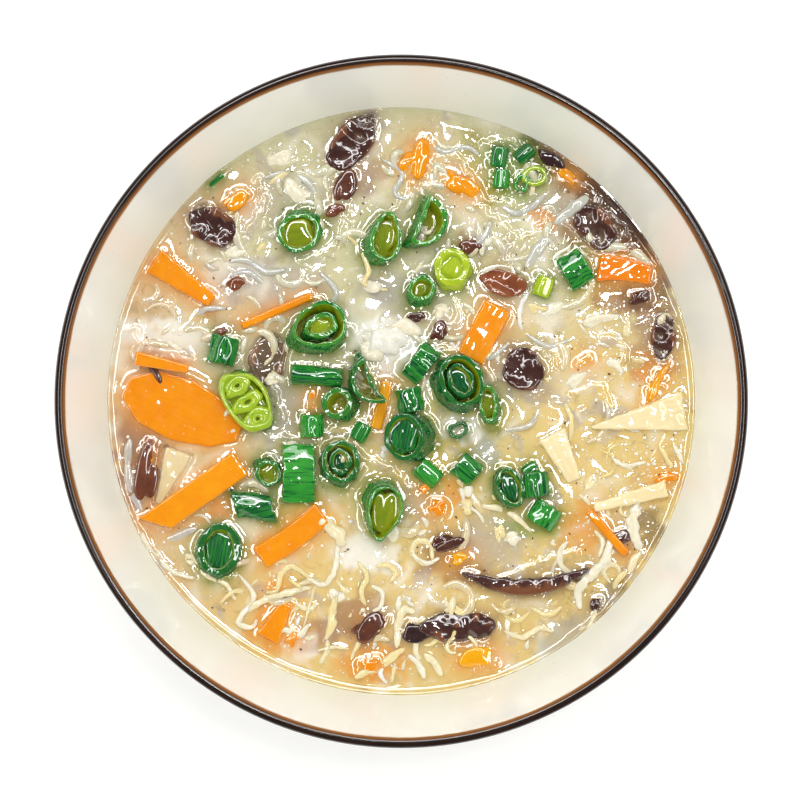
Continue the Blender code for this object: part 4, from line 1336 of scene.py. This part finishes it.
def lay_strand(heap, shape, route, width, thick, lift, tone, seed, ragged):
    """Bends a ball's rings along a route on the congee, with uneven edges and tapered ends."""
    ball = shape["points"]
    shares = np.arccos(np.clip(-ball[:, 0], -1.0, 1.0)) / math.pi
    ring = np.maximum(np.hypot(ball[:, 1], ball[:, 2]), 1e-9)
    aside, up = ball[:, 1] / ring, ball[:, 2] / ring
    taper = np.clip(np.sin(math.pi * np.clip(shares, 0.0, 1.0)), 0.0, 1.0) ** 0.35
    point, heading = along_route(route, shares)
    length = sum(math.dist(a, b) for a, b in zip(route, route[1:]))
    uneven = 1 + ragged * ripples(shares * length, aside * 2.0, 2.6, seed)
    across = np.stack([-heading[:, 1], heading[:, 0]], axis=1)
    flat = point + across * (aside * width / 2 * taper * uneven)[:, None]
    wave = 0.3 * ripples(shares * length, 0 * shares, 7.0, seed + 1)
    z = LEVEL + surface(point[:, 0], point[:, 1]) + lift + wave + up * thick / 2 * taper
    grain = np.stack([aside * width / 2, up * thick / 2, (shares - 0.5) * length], axis=1)
    heap.add(shape, np.column_stack([flat, z]), grain, tone)


def lay_lump(heap, shape, at, size, turn, lift, tone, seed, rough=0.14, boxy=1.0, skin=1.0):
    """Turns a ball into a lump or, where boxy is under 1, a blunt chip, lying on the congee."""
    ball = shape["points"]
    ball = np.sign(ball) * np.abs(ball) ** boxy
    dent = 1 + rough * ripples(ball[:, 0] * 2 + ball[:, 2], ball[:, 1] * 2 - ball[:, 2], 3.0, seed)
    own = ball * dent[:, None] * np.array(size) / 2
    z = LEVEL + surface_at(at) + lift + own[:, 2]
    grain = np.stack([own[:, 1], own[:, 2], own[:, 0]], axis=1)
    heap.add(shape, np.stack([*turned(own, at, turn), z], axis=1), grain, tone, skin)


def crowded(x, y):
    """True over the pieces that lie low, where nothing loose lies."""
    return any(math.hypot(x - at[0], y - at[1]) < reach for at, reach in LOW_PIECES)


def loose_spots(count, seed, reach=0.97, where=None):
    """Random places on the congee, spread evenly, or as thick as where(x, y) says."""
    draw = random.Random(seed)
    spots = []
    while len(spots) < count:
        radius = SOUP_RADIUS * reach * math.sqrt(draw.random())
        heading = draw.uniform(0.0, 2 * math.pi)
        x, y = radius * math.cos(heading), radius * math.sin(heading)
        if (where is None or draw.random() < where(x, y)) and not crowded(x, y):
            spots.append((x, y, draw))
    return spots


def curl(x, y, draw, most_bend, longest, places):
    """A random bent route through a spot, or None where it would come too near to the wall."""
    turn, bend = draw.uniform(0, 2 * math.pi), draw.uniform(-most_bend, most_bend)
    half = draw.uniform(2.5, longest)
    angles = [turn + bend * t for t in places]
    route = [
        (x + half * t * math.cos(angle), y + half * t * math.sin(angle))
        for t, angle in zip(places, angles)
    ]
    return route if all(math.hypot(*at) < SOUP_RADIUS - CLEAR_OF_WALL for at in route) else None


def make_ribbons(material):
    shape = strand_shape(10)
    heap = Heap("egg_ribbons")
    for k, ((width, thick), route) in enumerate(EGG_RIBBONS):
        tone = 0.3 + 0.5 * (k % 3) / 2
        lay_strand(heap, shape, route, width, thick, 0.4, tone, 300 + 2 * k, 0.14)

    def mostly_in_front(x, y):
        return 0.15 + 0.85 * (y < -20)

    for x, y, draw in loose_spots(LOOSE_RIBBONS, 21, 0.92, mostly_in_front):
        route = curl(x, y, draw, 1.4, 6.0, (-1.0, -0.5, 0.0, 0.5, 1.0))
        if route:
            width, tone, seed = draw.uniform(0.6, 1.5), draw.random(), draw.randrange(9999)
            lay_strand(heap, shape, route, width, 0.7, 0.1, tone, seed, 0.12)
    return heap.made(material, "egg")


def make_noodles(material):
    shape = strand_shape(8)
    heap = Heap("glass_noodles")
    for k, ((width, thick), route) in enumerate(GLASS_NOODLES):
        lay_strand(heap, shape, route, width, thick, 0.15, 0.55, 500 + 2 * k, 0.08)

    def thicker_behind(x, y):
        return 0.2 + 0.8 * smooth(y - 0.5 * x, -30.0, 40.0)

    for x, y, draw in loose_spots(LOOSE_NOODLES, 31, 0.94, thicker_behind):
        route = curl(x, y, draw, 1.2, 7.5, (-1.0, -0.6, -0.2, 0.2, 0.6, 1.0))
        if route:
            width, lift = draw.uniform(1.2, 2.4), draw.uniform(-0.35, 0.0)
            tone, seed = draw.uniform(0.0, 0.25), draw.randrange(9999)
            lay_strand(heap, shape, route, width, 1.2, lift, tone, seed, 0.08)
    return heap.made(material, "congee")


def make_bits(name, rows, material, slot, lift, boxy):
    shape = ball_shape()
    heap = Heap(name)
    for k, (at, size, turn, tone) in enumerate(rows):
        lay_lump(heap, shape, at, size, turn, lift, tone, 700 + k, boxy=boxy)
    return heap.made(material, slot)


def lay_hoop(heap, shape, at, across, length, turn, lying, tone, seed, wall=0.26, lift=0.4):
    """Draws a hoop out into a short tube of leaf: standing, or lying with its bore along turn."""
    hoop = shape["points"]
    ring = np.hypot(hoop[:, 0], hoop[:, 1])
    thick = 1 + (ring - 1) / HOOP_HALF * wall
    own = hoop * np.stack([thick / ring, thick / ring, np.ones_like(ring)], axis=1)
    dent = 1 + 0.07 * ripples(own[:, 0] * 3, own[:, 1] * 3, 5.0, seed)
    own = own * np.array([across[0], across[1], 0.0]) / 2 / (1 + wall) * dent[:, None]
    own[:, 2] = np.sign(hoop[:, 2]) * np.abs(hoop[:, 2] / HOOP_HALF) ** 0.5 * length / 2
    grain = own.copy()
    if lying:
        own = own[:, [2, 0, 1]]
    z = LEVEL + surface_at(at) + lift + own[:, 2]
    heap.add(shape, np.stack([*turned(own, at, turn), z], axis=1), grain, tone)


def make_hoops(material):
    shape = hoop_shape()
    heap = Heap("onion_bits")
    for k, (at, across, tall, tone) in enumerate(ONION_HOOPS):
        lay_hoop(heap, shape, at, across, tall, 30 * k, False, tone, 900 + k)
    for k, (at, (length, wide, thick), turn, tone) in enumerate(ONION_BITS):
        lay_hoop(heap, shape, at, (wide, thick), length, turn, True, tone, 920 + k)
    return heap.made(material, "onion_green")


def ring_turn(node):
    """A ring's heading and the length and width of its bore, near enough to fill it."""
    points = points_of(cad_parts[node])[:, :2] / MM
    flat = points - points.mean(axis=0)
    long = np.linalg.eigh(flat.T @ flat)[1][:, 1]
    own = flat @ np.stack([long, (-long[1], long[0])]).T
    return math.degrees(math.atan2(long[1], long[0])), (own.max(axis=0) - own.min(axis=0)) * 0.78


def make_inner_leaves(material):
    """A leaf pressed into each ring that isn't hollow."""
    shape = ball_shape()
    heap = Heap("onion_inner_leaves")
    for k, (node, (skin, tone)) in enumerate(FILLED.items()):
        low, high = (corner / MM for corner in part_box(node))
        turn, share = ring_turn(node)
        top = high.z - 1.0
        lean = LEANS.get(node, (0.0, 0.0))
        at = (
            (low.x + high.x) / 2 + lean[0] * (top - LEVEL),
            (low.y + high.y) / 2 + lean[1] * (top - LEVEL),
        )
        lift = top - 0.9 - LEVEL - surface_at(at)
        lay_lump(heap, shape, at, (*share, 1.8), turn, lift, tone, 940 + k, 0.08, 0.85, skin)
    return heap.made(material, "onion_green")


def make_pale_slice(material):
    """The oblong pale slice: a thick sheath round three young leaves that press together, on a dark olive bed
    that is partly their inside and partly painted shade in their bores.
    """
    shape = hoop_shape()
    heap = Heap("onion_slice_pale_leaves")
    low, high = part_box("onion_slice_pale")
    middle = ((low.x + high.x) / 2 / MM, (low.y + high.y) / 2 / MM)
    lift = (low.z + high.z) / 2 / MM - LEVEL - surface_at(middle)
    angle = math.radians(PALE_TURN)
    lay_hoop(heap, shape, middle, (15.6, 9.4), 3.4, PALE_TURN, False, 1.0, 960, wall=0.13, lift=lift)
    ball = ball_shape()
    # The bed is the leaf's dark olive inside; where it shows in the bores it is painted shade.
    bore_shade_bed = (14.4, 8.4, 2.4)
    lay_lump(heap, ball, middle, bore_shade_bed, PALE_TURN, lift - 0.9, 0.1, 959, 0.05, 0.8, -1.0)
    for k, (along, across, wall) in enumerate(PALE_LEAVES):
        at = (middle[0] + along * math.cos(angle), middle[1] + along * math.sin(angle))
        tall = 3.2 - 0.3 * k
        lay_hoop(heap, shape, at, across, tall, PALE_TURN, False, 0.95, 970 + k, wall=wall, lift=lift)
    leaves = heap.made(material, "onion_pale")
    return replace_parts(leaves, "onion_slice_pale")


def make_lumps(material):
    shape, small = ball_shape(20, 14), grain_shape(2)
    heap = Heap("egg_white")
    for k, (at, size, turn) in enumerate(WHITE_LUMPS):
        lay_lump(heap, shape, at, size, turn, -0.1, 0.3, 800 + k, rough=0.2)
    for x, y, draw in loose_spots(LOOSE_LUMPS, 43, 0.92):
        size = (draw.uniform(2.5, 6.0), draw.uniform(1.5, 3.0), draw.uniform(0.9, 1.5))
        turn, tone, seed = draw.uniform(0, 180), draw.random(), draw.randrange(9999)
        lay_lump(heap, shape, (x, y), size, turn, -0.2, tone, seed, 0.25)
    for x, y, draw in loose_spots(LOOSE_GRAINS, 41):
        size = (draw.uniform(0.6, 2.6), draw.uniform(0.5, 1.4), draw.uniform(0.4, 1.0))
        tone, seed = draw.random() * 0.9, draw.randrange(9999)
        lay_lump(heap, small, (x, y), size, draw.uniform(0, 180), 0.0, tone, seed, 0.25)
    return heap.made(material, "egg")


def make_bubbles(material):
    shape = grain_shape(1)
    heap = Heap("starch_bubbles")

    def thicker_on_the_right(x, y):
        return 0.15 + 0.85 * smooth(x + 0.4 * y, 10.0, 60.0)

    for x, y, draw in loose_spots(LOOSE_BUBBLES, 51, 0.985, thicker_on_the_right):
        across = 0.22 + 0.7 * draw.random() ** 7
        size = (across, across, across * 0.8)
        lay_lump(heap, shape, (x, y), size, 0, 0.15, draw.random(), 1, 0.05)
    return heap.made(material, "congee")


def make_specks(material):
    shape = grain_shape(1)
    heap = Heap("pepper_specks")
    for x, y, draw in loose_spots(LOOSE_SPECKS, 61):
        size = (draw.uniform(0.25, 0.7), draw.uniform(0.2, 0.45), 0.3)
        turn, seed = draw.uniform(0, 180), draw.randrange(9999)
        lay_lump(heap, shape, (x, y), size, turn, 0.3, 0.5, seed, 0.3)
    return heap.made(material, "mushroom")


# ---------------------------------------------------------------- camera, lights and floor


def add_camera():
    data = bpy.data.cameras.new("camera")
    data.lens = CAMERA_LENS
    data.sensor_width = 36.0
    data.clip_start = 0.01
    camera = link("camera", data)
    camera.location = (*CAMERA_OFFSET, HEIGHT * MM + CAMERA_ABOVE_RIM)
    bpy.context.scene.camera = camera


def add_light(name, at, size, power):
    data = bpy.data.lights.new(name, "AREA")
    data.shape = "RECTANGLE"
    data.size, data.size_y = size
    data.energy = power
    light = link(name, data)
    light.location = at
    light.rotation_mode = "QUATERNION"
    light.rotation_quaternion = (Vector(AIM_AT) - Vector(at)).to_track_quat("-Z", "Y")


def add_surroundings():
    world = bpy.data.worlds.new("studio")
    world.use_nodes = True
    graph = Graph(world.node_tree)
    way = graph.node("ShaderNodeTexCoord", output="Generated")
    back = graph.node("ShaderNodeSeparateXYZ", None, {0: way}, 1)
    up = graph.node("ShaderNodeSeparateXYZ", None, {0: way}, 2)
    windows = graph.step(up, *WINDOWS_FROM) * graph.step(up, *WINDOWS_TO) * graph.step(back, *NO_WINDOWS)
    glossy = graph.node("ShaderNodeLightPath", output="Is Glossy Ray")
    strength = SKY + glossy * (windows * WINDOWS_IN_GLOSS + (SKY_IN_GLOSS - SKY))
    sky = world.node_tree.nodes["Background"]
    sky.inputs["Color"].default_value = (1.0, 1.0, 1.0, 1.0)
    world.node_tree.links.new(strength.socket, sky.inputs["Strength"])
    bpy.context.scene.world = world
    for name, (at, size, power) in LAMPS.items():
        add_light(name, at, size, power)

    floor = start(bpy.ops.mesh.primitive_plane_add, "floor", size=6.0)
    glow = {"emission_color": (1.0, 1.0, 1.0, 1.0), "emission_strength": 0.08}
    paper = Finish("white_paper", roughness=0.9, **glow)
    white = paper.mix(paper.noise(20.0), (252, 252, 252), (255, 255, 255))
    floor.data.materials.append(paper.done(white))

    bpy.context.scene.view_settings.view_transform = "Standard"


def main():
    add_camera()
    add_surroundings()
    onion, carrot, bamboo = make_onion(), make_carrot(), make_bamboo()
    mushroom, egg, congee = make_mushroom(), make_egg(), make_congee()
    make_bowl(make_glaze())

    leaves = make_nodes("onion", "leaf", onion, rounding=0.25, uneven=0.12)
    sticks = make_nodes("carrot", "cut", carrot, rounding=0.5, cuts=3, uneven=0.03)
    shoots = make_nodes("bamboo", "cut", bamboo, rounding=0.4, cuts=3, uneven=0.06)
    caps = make_nodes("mushroom", "slice", mushroom, cuts=1, uneven=0.13)
    curd = make_nodes("egg", "curd", egg, uneven=0.35)

    noodles = make_noodles(make_glass_noodle())
    ribbons = make_ribbons(egg)
    whites = make_lumps(egg)
    carrot_bits = make_bits("carrot_bits", CARROT_BITS, carrot, "carrot", 0.0, 0.6)
    mushroom_bits = make_bits("mushroom_bits", MUSHROOM_BITS, mushroom, "mushroom", 0.4, 0.8)
    hoops = make_hoops(onion)
    leaves += [make_pale_slice(onion), make_inner_leaves(onion)]
    make_bubbles(make_bubble())
    make_specks(make_pepper())

    families = {
        "onion": [*leaves, hoops],
        "carrot": [*sticks, carrot_bits],
        "mushroom": [*caps, mushroom_bits],
        "pale": [*shoots, *curd, whites, ribbons, noodles],
    }
    make_soup(congee, families, [*sticks, *shoots, *caps, *curd])


main()
